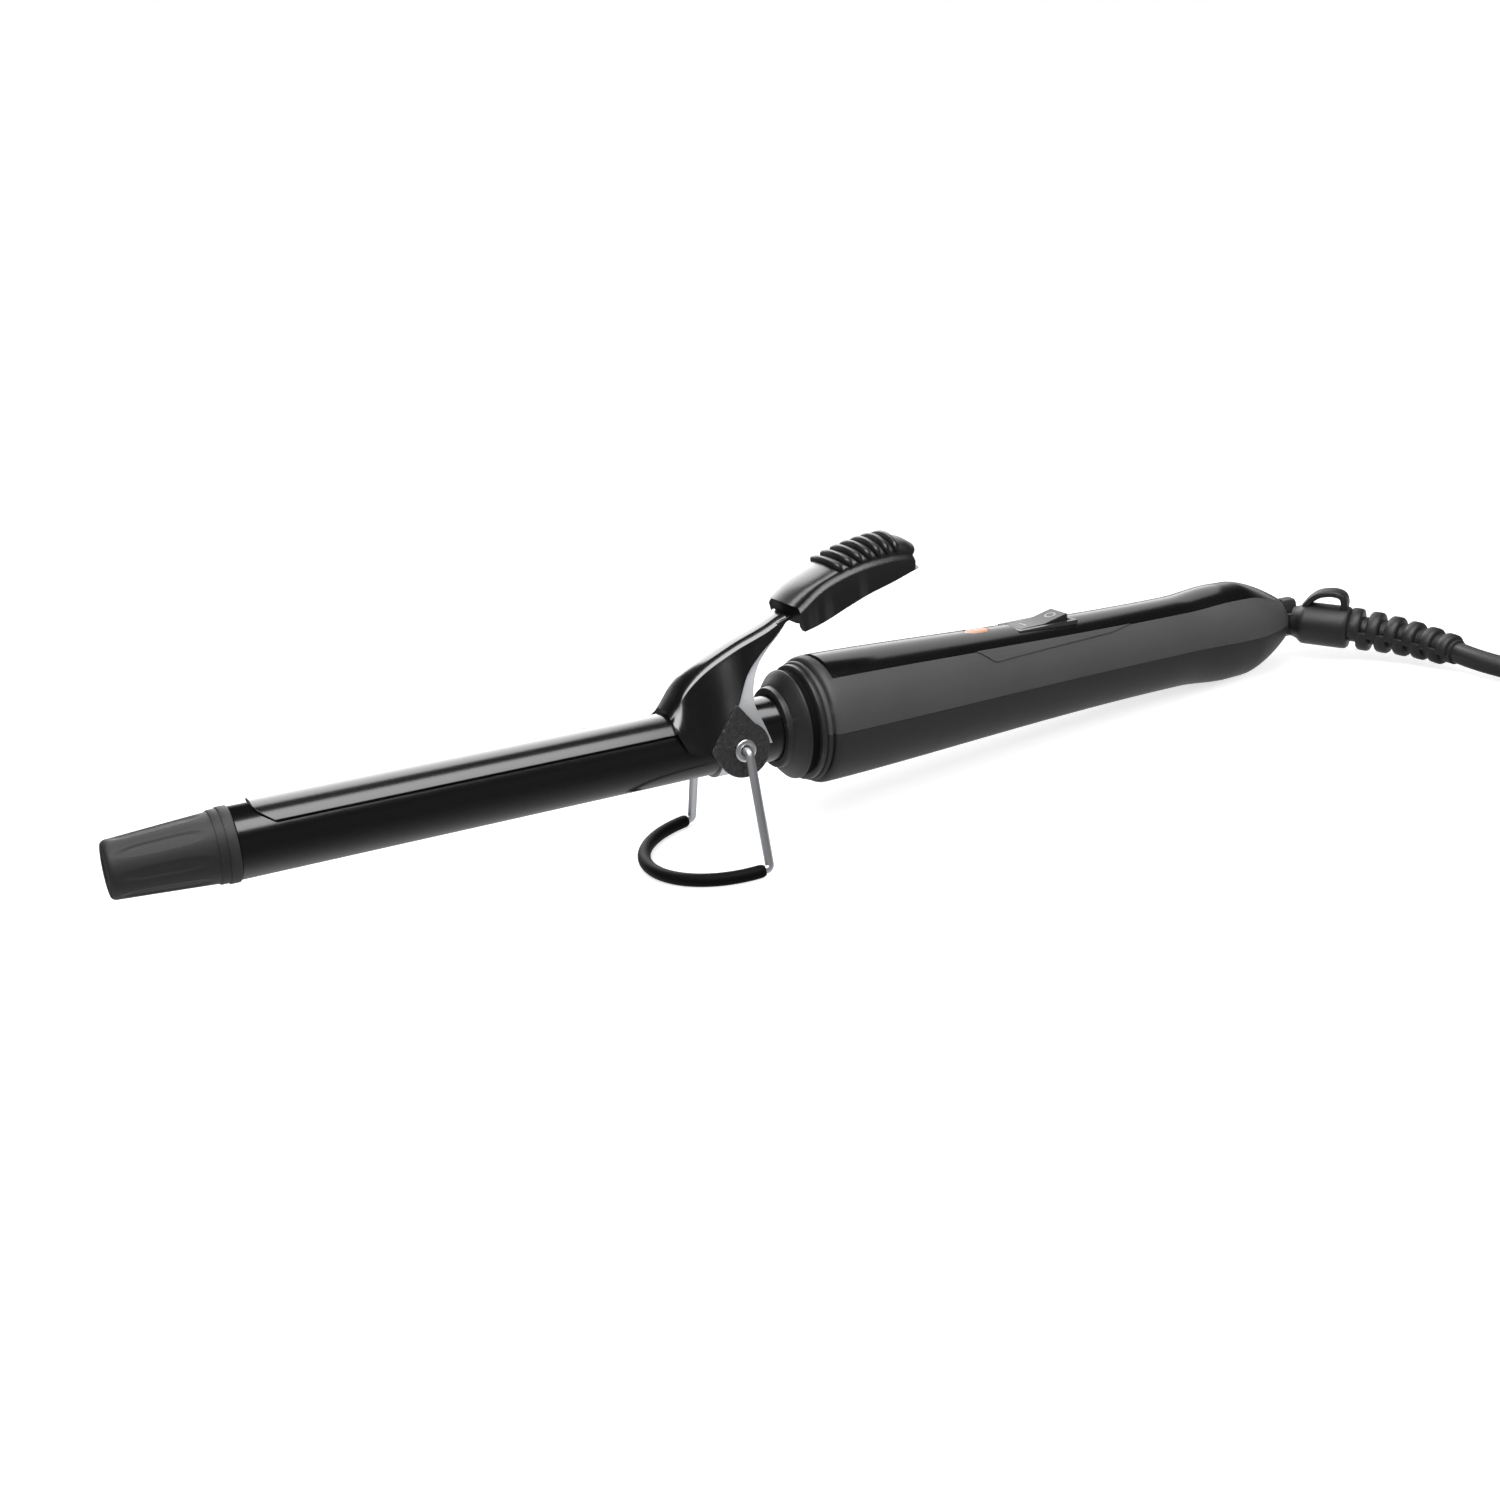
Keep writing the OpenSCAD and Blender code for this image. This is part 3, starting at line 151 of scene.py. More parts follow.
LOOKS = {
    "barrel": surface("barrel_black", (0.004, 0.004, 0.0043), 0.19, mottle_size=30,
                      rough_vary=0.02, grain=0.02, grain_size=0.8),
    "clamp": surface("clamp_black", (0.004, 0.004, 0.0043), 0.20, mottle_size=26,
                     rough_vary=0.02, grain=0.02, grain_size=0.8, edge=0.4),
    "lever": surface("lever_black", (0.005, 0.005, 0.0054), 0.17, mottle_size=18,
                     rough_vary=0.04, grain=0.06, grain_size=1.2, edge=0.3, ior=1.7),
    "thumb": surface("thumb_black", (0.007, 0.007, 0.0073), 0.33, mottle_size=9, rough_vary=0.07,
                     grain=0.5, grain_size=0.5, edge=0.35),
    "upper": surface("shell_grey", (0.042, 0.042, 0.0435), 0.55, mottle_size=22, grain=0.35,
                     grain_size=0.25, edge=0.3, spec=0.3),
    "lower": surface("shell_dark", (0.016, 0.016, 0.0167), 0.58, mottle_size=22, grain=0.4,
                     grain_size=0.25, edge=0.3, spec=0.3),
    "panel": surface("panel_black", (0.004, 0.004, 0.0043), 0.18, mottle_size=40,
                     rough_vary=0.02, grain=0.02, grain_size=1.5),
    "collar": surface("collar_grey", (0.015, 0.015, 0.0155), 0.45, mottle_size=12, grain=0.35,
                      grain_size=0.25, edge=0.4, spec=0.35),
    "tip": surface("tip_grey", (0.017, 0.017, 0.0175), 0.55, mottle_size=10, grain=0.4,
                   grain_size=0.22, edge=0.4, spec=0.25),
    "steel": surface("bright_wire", (0.50, 0.51, 0.53), 0.48, metallic=1, mottle=0.08,
                     mottle_size=6, grain=0.2, grain_size=0.3, streak=(1, 1, 0.1)),
    "rivet": surface("rivet_nickel", (0.9, 0.9, 0.91), 0.34, metallic=1, mottle=0.06,
                     mottle_size=4, grain=0.15, grain_size=0.4),
    "plated": surface("zinc_plate", (0.45, 0.46, 0.48), 0.35, metallic=1, mottle=0.12,
                      mottle_size=5, grain=0.2, grain_size=0.4),
    "sleeve": surface("sleeve_silicone", (0.0015, 0.0015, 0.0016), 0.6, mottle_size=8,
                      grain=0.2, grain_size=0.3, spec=0.08),
    # Near-black and matt: painted shade for the floor of the collar's groove, not a material of the
    # iron
    "gap": surface("groove_shade_black", (0.002, 0.002, 0.002), 0.8, mottle_size=8, grain=0.1, spec=0.1),
    "relief": surface("relief_pvc", (0.011, 0.011, 0.0115), 0.46, mottle_size=9, grain=0.3,
                      grain_size=0.3, edge=0.4, spec=0.35),
    "cord": surface("cord_pvc", (0.013, 0.013, 0.0135), 0.38, mottle_size=30, grain=0.2,
                    grain_size=0.4),
    "plug": surface("plug_pvc", (0.014, 0.014, 0.0145), 0.42, mottle_size=12, grain=0.3,
                    grain_size=0.3, edge=0.3),
    "rocker": surface("rocker_black", (0.012, 0.012, 0.0125), 0.3, mottle_size=6, grain=0.2,
                      grain_size=0.3, edge=0.3),
    "ear": surface("ear_crackle", (0.018, 0.018, 0.0185), 0.32, mottle_size=1.2, mottle=0.6,
                   grain=1.0, grain_size=0.9, depth=0.7, edge=0.3),
    "flange": surface("flange_zinc", (0.33, 0.335, 0.345), 0.5, metallic=0.35, mottle_size=5,
                      grain=0.3, grain_size=0.5),
    "rib": surface("rib_black", (0.006, 0.006, 0.0063), 0.38, mottle_size=6, grain=0.15,
                   grain_size=0.35),
    "mark": surface("mark_white", (0.30, 0.30, 0.295), 0.5, mottle_size=3, grain=0.1),
    "lamp": surface("lamp_orange", (0.50, 0.26, 0.17), 0.35, mottle_size=3, mottle=0.2, coat=0.15,
                    grain=0.15, grain_size=0.6),
    "tie": surface("tie_weave", (0.02, 0.02, 0.022), 0.8, mottle_size=2, grain=0.8,
                   grain_size=0.5, sheen=0.4),
    "brass": surface("brass_bare", (0.75, 0.55, 0.26), 0.3, metallic=1, mottle_size=5, grain=0.15),
    "alu": surface("aluminium_bare", (0.76, 0.77, 0.79), 0.35, metallic=1, mottle_size=8,
                   grain=0.2, streak=(0.1, 1, 1)),
    "film": surface("film_amber", (0.72, 0.36, 0.06), 0.25, mottle_size=8, coat=0.4),
    "ceramic": surface("ceramic_dark", (0.05, 0.055, 0.065), 0.6, mottle_size=3, grain=0.3),
    "ceramic_pale": surface("ceramic_pale", (0.72, 0.69, 0.62), 0.4, mottle_size=3, grain=0.2),
    "phenolic": surface("phenolic_brown", (0.24, 0.14, 0.08), 0.5, mottle_size=4, grain=0.3),
    "board": surface("board_green", (0.02, 0.13, 0.05), 0.35, mottle_size=5, grain=0.15),
    "parts": surface("lacquer_brown", (0.38, 0.20, 0.09), 0.3, mottle_size=3, grain=0.1),
    "nylon": surface("nylon_brown", (0.10, 0.085, 0.07), 0.5, mottle_size=6, grain=0.25),
    "lead_white": surface("fibre_white", (0.70, 0.67, 0.60), 0.7, mottle_size=2, grain=0.5),
    "lead_brown": surface("pvc_brown", (0.12, 0.06, 0.03), 0.4, mottle_size=4, grain=0.15),
    "led": surface("resin_orange", (0.85, 0.35, 0.2), 0.15, mottle_size=3, coat=0.5),
}
# Every node of the solids starts with the look of what it is made of
CARRIED = {
    "pivot_bracket": "plated", "return_springs": "steel", "heat_spreaders": "alu",
    "ptc_elements": "ceramic", "electrode_strips": "brass", "heater_film": "film",
    "thermal_fuse": "ceramic_pale", "barrel_bush": "phenolic", "indicator_led": "led",
    "circuit_board": "board", "board_parts": "parts", "switch_terminals": "brass",
    "handle_screws": "plated", "heater_leads": "lead_white", "supply_leads": "lead_brown",
    "swivel_housing": "nylon", "swivel_brushes": "brass", "slip_rings": "brass",
    "tilt_pin": "plated", "swivel_rotor": "rocker", "cool_tip": "tip", "barrel": "barrel",
    "clamp": "clamp", "lever": "lever", "thumb_rest": "thumb", "pivot_rivets": "rivet",
    "stand_wire": "steel", "stand_sleeve": "sleeve", "front_collar": "collar",
    "handle_lower": "lower", "handle_upper": "upper", "top_panel": "panel",
    "lamp_lens": "lamp", "switch_body": "rocker", "switch_rocker": "rocker",
    "strain_relief": "relief", "cord_lead": "cord", "cord_coil": "cord", "cord_tie": "tie",
    "cord_tail": "cord", "plug_body": "plug", "plug_pins": "rivet",
}
for node, key in CARRIED.items():
    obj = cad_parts[node]
    obj = obj if isinstance(obj, bpy.types.Object) else bpy.data.objects[node]
    if not obj.material_slots:
        obj.data.materials.append(LOOKS[key])
    for held in obj.material_slots:
        held.material = LOOKS[key]


# ---------------------------------------------------------------- shape tools
def drawn(name, verts, faces, where):
    """A mesh object in metres from points in millimetres in the frame of where."""
    mesh = bpy.data.meshes.new(name)
    mesh.from_pydata([where @ Vector(v) for v in verts], [], faces)
    mesh.update()
    bm = bmesh.new()
    bm.from_mesh(mesh)
    bmesh.ops.remove_doubles(bm, verts=bm.verts, dist=2e-6)
    bmesh.ops.recalc_face_normals(bm, faces=bm.faces)
    bm.to_mesh(mesh)
    bm.free()
    obj = bpy.data.objects.new(name, mesh)
    bpy.context.scene.collection.objects.link(obj)
    return obj


def piece(name, verts, faces, key, body, nodes=(), where=IRON, sharp=35, bevel=0.0, segs=2,
          slot=None):
    """A smooth mesh with edges over sharp degrees, that rides on body and replaces nodes."""
    obj = drawn(name, verts, faces, where)
    for polygon in obj.data.polygons:
        polygon.use_smooth = True
    obj.data.set_sharp_from_angle(angle=math.radians(sharp))
    obj.data.materials.append(LOOKS[key])
    if bevel:
        mod = obj.modifiers.new("bevel", "BEVEL")
        mod.width = bevel * MM
        mod.segments = segs
        mod.limit_method = "ANGLE"
        mod.angle_limit = math.radians(sharp)
        mod.harden_normals = True
    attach(obj, body)
    if nodes:
        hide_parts(*nodes)
    return obj


def on_circle(r, degrees):
    return [(r * math.cos(math.radians(t)), r * math.sin(math.radians(t))) for t in degrees]


def polar(x, r, degrees):
    """A point at x, r from the axis; 0 degrees is the top and the +Y side is positive."""
    a = math.radians(degrees)
    return (x, r * math.sin(a), r * math.cos(a))


def grid(rows, close_v=False, close_u=False, caps=False):
    """Vertices and faces for rows of points; close_v joins each row's ends."""
    nv = len(rows[0])
    nu = len(rows)
    verts = [p for row in rows for p in row]
    faces = []
    for i in range(nu if close_u else nu - 1):
        for j in range(nv if close_v else nv - 1):
            a, b = i * nv + j, i * nv + (j + 1) % nv
            c, d = ((i + 1) % nu) * nv + (j + 1) % nv, ((i + 1) % nu) * nv + j
            faces.append((a, b, c, d))
    if caps:
        faces.append(tuple(range(nv - 1, -1, -1)))
        faces.append(tuple((nu - 1) * nv + j for j in range(nv)))
    return verts, faces


def turned(profile, steps=96, start=0.0, sweep=360.0, closed_outline=True):
    """A profile of (x, radius) turned about X."""
    full = sweep >= 359.9
    rows = [[polar(x, r, start + sweep * i / steps) for x, r in profile]
            for i in range(steps if full else steps + 1)]
    return grid(rows, close_v=closed_outline, close_u=full, caps=not full)


def cut(obj, verts, faces):
    """Take a closed shape, in the iron's frame, away from a piece."""
    tool = drawn("cutter", verts, faces, IRON)
    mesh = tool.data
    mod = obj.modifiers.new("cut", "BOOLEAN")
    mod.object = tool
    mod.solver = "EXACT"
    while obj.modifiers[0] != mod:
        obj.modifiers.move(obj.modifiers.find(mod.name), 0)
    with bpy.context.temp_override(object=obj, active_object=obj, selected_objects=[obj]):
        bpy.ops.object.modifier_apply(modifier=mod.name)
    bpy.data.objects.remove(tool)
    bpy.data.meshes.remove(mesh)


def prism(outline, low, high, axis="z"):
    """An outline of (x, y) stood up between two heights."""
    n = len(outline)
    if axis == "z":
        verts = [(x, y, low) for x, y in outline] + [(x, y, high) for x, y in outline]
    else:
        verts = [(x, low, y) for x, y in outline] + [(x, high, y) for x, y in outline]
    faces = [tuple(range(n - 1, -1, -1)), tuple(range(n, 2 * n))]
    faces += [(i, (i + 1) % n, n + (i + 1) % n, n + i) for i in range(n)]
    return verts, faces


def oval(at, length, width, n=16):
    """An outline along x with half-round ends, its middle at x = at."""
    half = (length - width) / 2
    turn = [180 * i / n for i in range(n + 1)]
    return ([(at + half + x, y) for x, y in on_circle(width / 2, [t - 90 for t in turn])]
            + [(at - half + x, y) for x, y in on_circle(width / 2, [t + 90 for t in turn])])


def oblong(at, length, width):
    return [(at + x, y) for x, y in ((-length / 2, -width / 2), (length / 2, -width / 2),
                                     (length / 2, width / 2), (-length / 2, width / 2))]


def join(*parts):
    """Several shapes as one list of points and one of faces."""
    verts, faces = [], []
    for v, f in parts:
        n = len(verts)
        verts += v
        faces += [tuple(i + n for i in face) for face in f]
    return verts, faces


def moved(part, matrix):
    return [tuple(matrix @ Vector(v)) for v in part[0]], part[1]


def between(table, per):
    """Catmull-Rom through rows of numbers."""
    rows = [list(row) for row in table]
    before = [2 * u - v for u, v in zip(rows[0], rows[1])]
    after = [2 * u - v for u, v in zip(rows[-1], rows[-2])]
    rows = [before] + rows + [after]
    out = []
    for i in range(1, len(rows) - 2):
        for k in range(per):
            t = k / per
            out.append([0.5 * (2 * b + (c - a) * t + (2 * a - 5 * b + 4 * c - d) * t * t
                               + (3 * b - a - 3 * c + d) * t ** 3)
                        for a, b, c, d in zip(*rows[i - 1:i + 3])])
    out.append(rows[-2])
    return out


def spline(points, per):
    return [Vector(q) for q in between(points, per)]


def arched(start, pull, stop, t):
    """A point on the curve from start to stop that leans towards pull."""
    return (1 - t) ** 2 * start + 2 * t * (1 - t) * pull + t * t * stop


def heading(points, i):
    return (points[min(i + 1, len(points) - 1)] - points[max(i - 1, 0)]).normalized()


def swept(points, radius, sides, normal=Vector((0, 0, 1))):
    """A round bar along the points; radius is a function of the share of the way."""
    pts = [Vector(p) for p in points]
    side = heading(pts, 0).cross(normal)
    rows = []
    for i, p in enumerate(pts):
        way = heading(pts, i)
        side = (side - way * side.dot(way)).normalized()
        lift = side.cross(way)
        circle = on_circle(radius(i / (len(pts) - 1)), [360 * k / sides for k in range(sides)])
        rows.append([p + u * side + v * lift for u, v in circle])
    return grid(rows, close_v=True, caps=True)


def lookup(x, table):
    """Straight-line reading of a table of (x, value)."""
    if x <= table[0][0]:
        return table[0][1]
    for (x0, y0), (x1, y1) in zip(table, table[1:]):
        if x <= x1:
            return y0 + (y1 - y0) * (x - x0) / (x1 - x0)
    return table[-1][1]


# ---------------------------------------------------------------- cord
SLEEVE_END, BEND_LENGTH, BEND = 20.0, 31.0, 35.0


def bend_point(angle):
    """The relief's middle line after its sleeve: an arc of BEND degrees."""
    r = BEND_LENGTH / math.radians(BEND)
    a = math.radians(angle)
    return Vector((SLEEVE_END + r * math.sin(a), -r * (1 - math.cos(a)), 0))


relief_tip = RELIEF @ bend_point(BEND)
inside = RELIEF @ bend_point(BEND - 2)
LEAD = [(175, -53, 4.5), (177, -62, 3.6), (181.5, -71, 3.3), (188.5, -79, 3.3),
        (197.5, -85.3, 3.3), (208.5, -90, 3.3), (221, -93.4, 3.4), (235, -95.3, 3.4),
        (249, -95.8, 3.4)]
TAIL = [(304.4, -52, 15.3), (304.4, -42, 16.5), (304.4, -32, 17.5), (302.6, -22.8, 18.6),
        (297.4, -15, 19.8), (289.6, -9.8, 21), (280.4, -8, 22.2), (271.2, -9.8, 23.3),
        (263.4, -15, 24.2), (258.2, -22.8, 24.7), (256.4, -31.8, 24.9)]
CORD_D, COIL_X, COIL_Y, COIL_LOW = 5.6, 262.0, -52.0, 3.4
COIL_IN, COIL_OUT = 22.8, 43.8
# Degrees wound in each layer, degrees over which the cord climbs and lifts off, and its lift
WOUND_IN, WOUND_OUT = 1350, 1260
CLIMB_OVER, LIFT_OVER, LIFT_H = 70, 50, 6.3


def ease(t):
    return t * t * (3 - 2 * t)


def coil_point(turn):
    """Layer one winds in, layer two winds out on top of it and lifts off at its end."""
    out = turn - WOUND_IN
    r = COIL_OUT - CORD_D * turn / 360 if out <= 0 else COIL_IN + CORD_D * out / 360
    climb = min(1, max(0, (out + CLIMB_OVER / 2) / CLIMB_OVER))
    lift = min(1, max(0, (out - WOUND_OUT + LIFT_OVER) / LIFT_OVER))
    z = COIL_LOW + CORD_D * ease(climb) + LIFT_H * lift * lift * (2 - lift)
    a = math.radians(270 + turn)
    return (COIL_X + r * math.cos(a), COIL_Y + r * math.sin(a), z)


laid = LEAD + [coil_point(t) for t in range(0, WOUND_IN + WOUND_OUT, 12)] + TAIL
route = [inside, relief_tip] + [TABLE @ Vector(q) for q in laid]
curve = bpy.data.curves.new("mains_cord", "CURVE")
curve.dimensions = "3D"
line = curve.splines.new("POLY")
smooth_route = spline(route, 3)
line.points.add(len(smooth_route) - 1)
for point, place in zip(line.points, smooth_route):
    point.co = (*place, 1)
curve.bevel_depth = CORD_D / 2 * MM
curve.bevel_resolution = 5
curve.use_fill_caps = True
curve.materials.append(LOOKS["cord"])
cord = bpy.data.objects.new("mains_cord", curve)
bpy.context.scene.collection.objects.link(cord)
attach(cord, "cord")
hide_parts("cord_lead", "cord_coil", "cord_tail")


# ---------------------------------------------------------------- handle
FRONT_R, WAIST_R, FLARE_R, NOSE_R = 15.75, 12.2, 13.2, 6.7
SHELL_AT, END, WALL, PANEL_T = 21.2, 171.0, 2.2, 1.0
SHELL_FRONT = FRONT_R - 0.9
CHANNEL_FROM, CHANNEL_TO = 26.0, 168.0
# Half the strip's width and half the parting line's, in degrees round the handle
PANEL_HALF, SEAM = 39.0, 0.25
LAMP_AT, SWITCH_AT = 73.0, 92.0


def handle_r(x):
    """The handle's radius: a long taper, a flare where the hand ends, and a round nose."""
    if x <= 135:
        t = math.sin(math.radians(90 * max(0, x - 24.5) / 110.5))
        return FRONT_R - (FRONT_R - WAIST_R) * t ** 1.4
    if x <= 150:
        return WAIST_R + (FLARE_R - WAIST_R) * ease((x - 135) / 15)
    if x <= CONTACT:
        return FLARE_R + (CONTACT_R - FLARE_R) * (x - 150) / (CONTACT - 150)
    return NOSE_R + (CONTACT_R - NOSE_R) * (1 - ((x - CONTACT) / (END - CONTACT)) ** 1.4)


def stations(low, high, step=1.5):
    n = max(2, round((high - low) / step))
    return [low + (high - low) * i / n for i in range(n + 1)]


def skin(low, high, rise, step=1.5):
    return [(x, handle_r(x) + rise) for x in stations(low, high, step)]


def shell_profile():
    """Outside from the front lip to the nose, then back along the inside."""
    front = [(SHELL_AT, SHELL_FRONT - 0.5), (SHELL_AT + 0.15, SHELL_FRONT - 0.25),
             (SHELL_AT + 0.4, SHELL_FRONT - 0.1), (SHELL_AT + 0.8, SHELL_FRONT - 0.1),
             (SHELL_AT + 1.0, SHELL_FRONT - 0.8), (22.75, SHELL_FRONT - 0.75), (22.9, FRONT_R - 0.6),
             (23.2, FRONT_R - 0.25), (23.8, FRONT_R - 0.06)]
    back = [(END - 0.15, NOSE_R - 0.25), (END, 5.6), (END, 5.46), (158.0, 5.46)]
    return (front + skin(24.8, END - 0.4, 0) + back
            + list(reversed(skin(24.8, 158.0, -WALL, 6))) + [(SHELL_AT, SHELL_FRONT - WALL)])


# Lower shell: the parting line is a fine groove, and two screw wells open underneath
lower = piece("lower_shell", *turned(shell_profile(), 64, 90 + SEAM, 180 - 2 * SEAM), "lower",
              "handle", ["handle_lower"], bevel=0.18, sharp=40, slot="handle_lower_plastic")
for x in (58, 128):
    cut(lower, *prism([(x + u, v) for u, v in on_circle(2.7, range(0, 360, 12))], -20, -5.5))


def channel_shell():
    """Rows by angle: the side walls stand full height, the channel's floor lies one strip lower."""
    wall = 90 - PANEL_HALF - SEAM
    columns = [(-90 + SEAM + wall * i / 30, 0) for i in range(31)]
    columns += [(-PANEL_HALF + 2 * PANEL_HALF * i / 24, PANEL_T) for i in range(25)]
    columns += [(PANEL_HALF + wall * i / 30, 0) for i in range(31)]

    def sunk(x, r, drop):
        return r - drop if CHANNEL_FROM <= x <= CHANNEL_TO and r > handle_r(x) - 0.5 else r

    rows = [[polar(x, sunk(x, r, drop), angle) for x, r in shell_profile()]
            for angle, drop in columns]
    return grid(rows, close_v=True, caps=True)


upper = piece("upper_shell", *channel_shell(), "upper", "handle", ["handle_upper"], bevel=0.15,
              sharp=40, slot="handle_plastic")


def patch(places, edges, rise, under, n):
    """A thin skin on the handle, between the angles that edges gives at each place."""
    rows = []
    for x in places:
        start, stop = edges(x)
        angles = [start + (stop - start) * i / n for i in range(n + 1)]
        rows.append([polar(x, handle_r(x) + rise, t) for t in angles]
                    + [polar(x, handle_r(x) + under, t) for t in reversed(angles)])
    return grid(rows, close_v=True, caps=True)


# The raised wing round the controls: the sine of its lower edge's angle along the handle
WING = [(67.0, 0.62), (71.0, 0.81), (109.0, 0.71), (116.0, 0.62)]


def wing(side):
    def edges(x):
        return side * (PANEL_HALF - 0.3), side * math.degrees(math.asin(lookup(x, WING)))
    return patch(stations(67.2, 115.8, 1.2), edges, 0.34, -0.3, 8)


piece("control_wing", *join(wing(1), wing(-1)), "upper", "handle", bevel=0.1, sharp=40,
      slot="handle_plastic")


# The glossy strip lies flush in its channel and wraps down over the nose
def strip_edges(_):
    return 0.7 - PANEL_HALF, PANEL_HALF - 0.7


places = stations(CHANNEL_FROM + 0.1, CHANNEL_TO - 0.2, 1.3)
strip = piece("top_strip", *patch(places, strip_edges, 0.02, 0.02 - PANEL_T, 40), "panel",
              "handle", ["top_panel"], bevel=0.22, segs=3, sharp=40, slot="panel_gloss")
lamp_hole = oval(LAMP_AT, 7.1, 4.3)
switch_hole = oblong(SWITCH_AT, 18.1, 9.9)
cut(strip, *prism(lamp_hole, 5, 20))
cut(strip, *prism(switch_hole, 5, 20))
cut(upper, *prism(lamp_hole, 5, 20))
cut(upper, *prism(switch_hole, 4.6, 20))

# Front collar: a stepped cone with a groove behind it, whose floor is darkened with painted shade
COLLAR = [(12.8, 8.15), (12.8, 9.4), (12.95, 9.75), (13.3, 9.9), (14.0, 9.9), (14.25, 10.1),
          (14.4, 10.5), (15.7, 11.7), (15.95, 12.2), (17.1, 13.35), (17.4, 13.4), (17.55, 13.2),
          (17.6, 12.75), (19.65, 12.75), (19.7, 13.8), (19.85, 14.1), (20.1, 14.2), (20.9, 14.2),
          (21.1, 14.1), (21.2, 13.8), (21.2, 12.6), (28, 12.6), (28, 8.15)]
piece("front_ring", *turned(COLLAR, 128), "collar", "handle", ["front_collar"], sharp=28,
      bevel=0.08, slot="collar_plastic")
# A near-black ring laid on the groove's floor: painted shade standing in for the shadow deep in the
# groove
GROOVE = [(17.62, 12.4), (17.62, 12.85), (19.64, 12.85), (19.64, 12.4)]
piece("ring_gap", *turned(GROOVE), "gap", "handle", sharp=40, slot="collar_plastic")

# Barrel and clamp
BARREL_R, CLAMP_T = 8.0, 0.8
CLAMP_FRONT, CLAMP_REAR, CLAMP_HALF = -112.0, -6.0, 52.0
TUBE = [(-116.5, 7.1), (-116.5, 7.75), (-116.25, BARREL_R), (50, BARREL_R), (50, 7.1)]
piece("barrel_tube", *turned(TUBE, 128), "barrel", "handle", ["barrel"], sharp=50,
      slot="barrel_coat")


def clamp_sheet():
    """Rows by angle; each starts further back the further its side hangs down the barrel."""
    inner_r = BARREL_R + 0.1
    outer_r = inner_r + CLAMP_T
    rows = []
    for i in range(37):
        angle = -CLAMP_HALF + 2 * CLAMP_HALF * i / 36
        aside = abs(polar(0, outer_r, angle)[1])
        start = CLAMP_FRONT + 4.6 * (max(0, aside - 2.5) / 5.0) ** 2.2
        places = [start + (CLAMP_REAR - start) * (k / 60) ** 1.6 for k in range(61)]
        rows.append([polar(x, outer_r, angle) for x in places]
                    + [polar(x, inner_r, angle) for x in reversed(places)])
    return grid(rows, close_v=True, caps=True)


piece("clamp_sheet", *clamp_sheet(), "clamp", "lever", ["clamp"], bevel=0.22, segs=3, sharp=45,
      slot="barrel_coat")


# Cool tip: a stepped flange, then a tapered grip with arched flutes
GRIP = [-120.9 - 20.8 * i / 34 for i in range(35)]
TIP = [(-104.5, 0.01), (-104.5, 7.05), (-116.5, 7.05), (-116.5, 8.25), (-116.65, 8.4),
       (-118.55, 8.4), (-118.75, 8.3), (-118.8, 8.12), (-118.95, 8.1), (-120.45, 8.1),
       (-120.65, 8.0), (-120.7, 7.82)]
TIP += [(x, 7.8 + 1.4 * (x + 120.7) / 21) for x in GRIP]
TIP += [(-142.0, 6.32), (-142.4, 6.1), (-142.62, 5.8), (TIP_END, TIP_EDGE_R), (TIP_END, 2.6),
        (-142.55, 2.4), (-142.5, 0.01)]
FLUTES, FLUTE_X, FLUTE_LONG, FLUTE_WIDE, FLUTE_DEEP = 8, -131.5, 9.3, 11.5, 0.3


def fluted(x, r, angle):
    """The radius, less the depth of the arched flute at this place on the grip."""
    room = 1 - ((x - FLUTE_X) / FLUTE_LONG) ** 4
    pitch = 360 / FLUTES
    arc = ((angle - pitch / 2) % pitch - pitch / 2) / FLUTE_WIDE
    if room > arc * arc:
        r -= FLUTE_DEEP * min(1, (room - arc * arc) * 1.6)
    return r


tip_rows = [[polar(x, fluted(x, r, 1.875 * i), 1.875 * i) for x, r in TIP] for i in range(192)]
piece("tip_grip", *grid(tip_rows, close_u=True), "tip", "handle", ["cool_tip"], sharp=38,
      slot="dark_plastic")

# ---------------------------------------------------------------- lever
EAR_IN, EAR_OUT, EAR_R, LEVER_T = 10.9, 12.0, 6.7, 1.0
HOOD_IN, STRIP_HALF, SHOULDER = 8.95, 4.3, 2.2
HOOD_OUT = HOOD_IN + LEVER_T
# Sections from front to back: x, top above HOOD_OUT, lower edge, half width, bulge of the wall
LEVER = [
    (-15, 0, 6, HOOD_OUT - 2.05, 0.3), (-13.2, 2.2, 1.6, HOOD_OUT - 0.15, 0.6),
    (-11.2, 4.8, 1, EAR_OUT - 1.4, 0.2), (-8.6, 7.2, 0.5, EAR_OUT - 0.5, 0),
    (-5.2, 9.5, 4, EAR_OUT, 0), (-1, 11.6, 10, EAR_OUT - 0.5, 0),
    (4, 13.7, 16.5, STRIP_HALF + 3.4, 0), (9, 15.4, 20.4, STRIP_HALF + 1.3, 0),
    (13, 16.9, 23, STRIP_HALF + 0.3, 0), (17, 18.6, 26.6, STRIP_HALF, 0)]


def hood_side(top, edge, half, bulge):
    """From the lower edge up the wall, round the shoulder and in to the middle of the strip."""
    flat = min(4.5, half - 0.3)
    drop = min(1.5, 0.6 * (top - edge))
    low, high = Vector((half, edge)), Vector((flat, top - drop))
    out = Vector((high.y - low.y, low.x - high.x)).normalized()
    pull = (low + high) / 2 + 2 * bulge * out
    quarter = on_circle(1, [11.25 * k for k in range(1, 8)])
    shoulder = [(1 - u ** 1.6, 1 - v ** 1.6) for u, v in quarter]
    return ([arched(low, pull, high, k / 12) for k in range(13)]
            + [Vector((flat - SHOULDER * u, top - drop * v)) for u, v in shoulder])


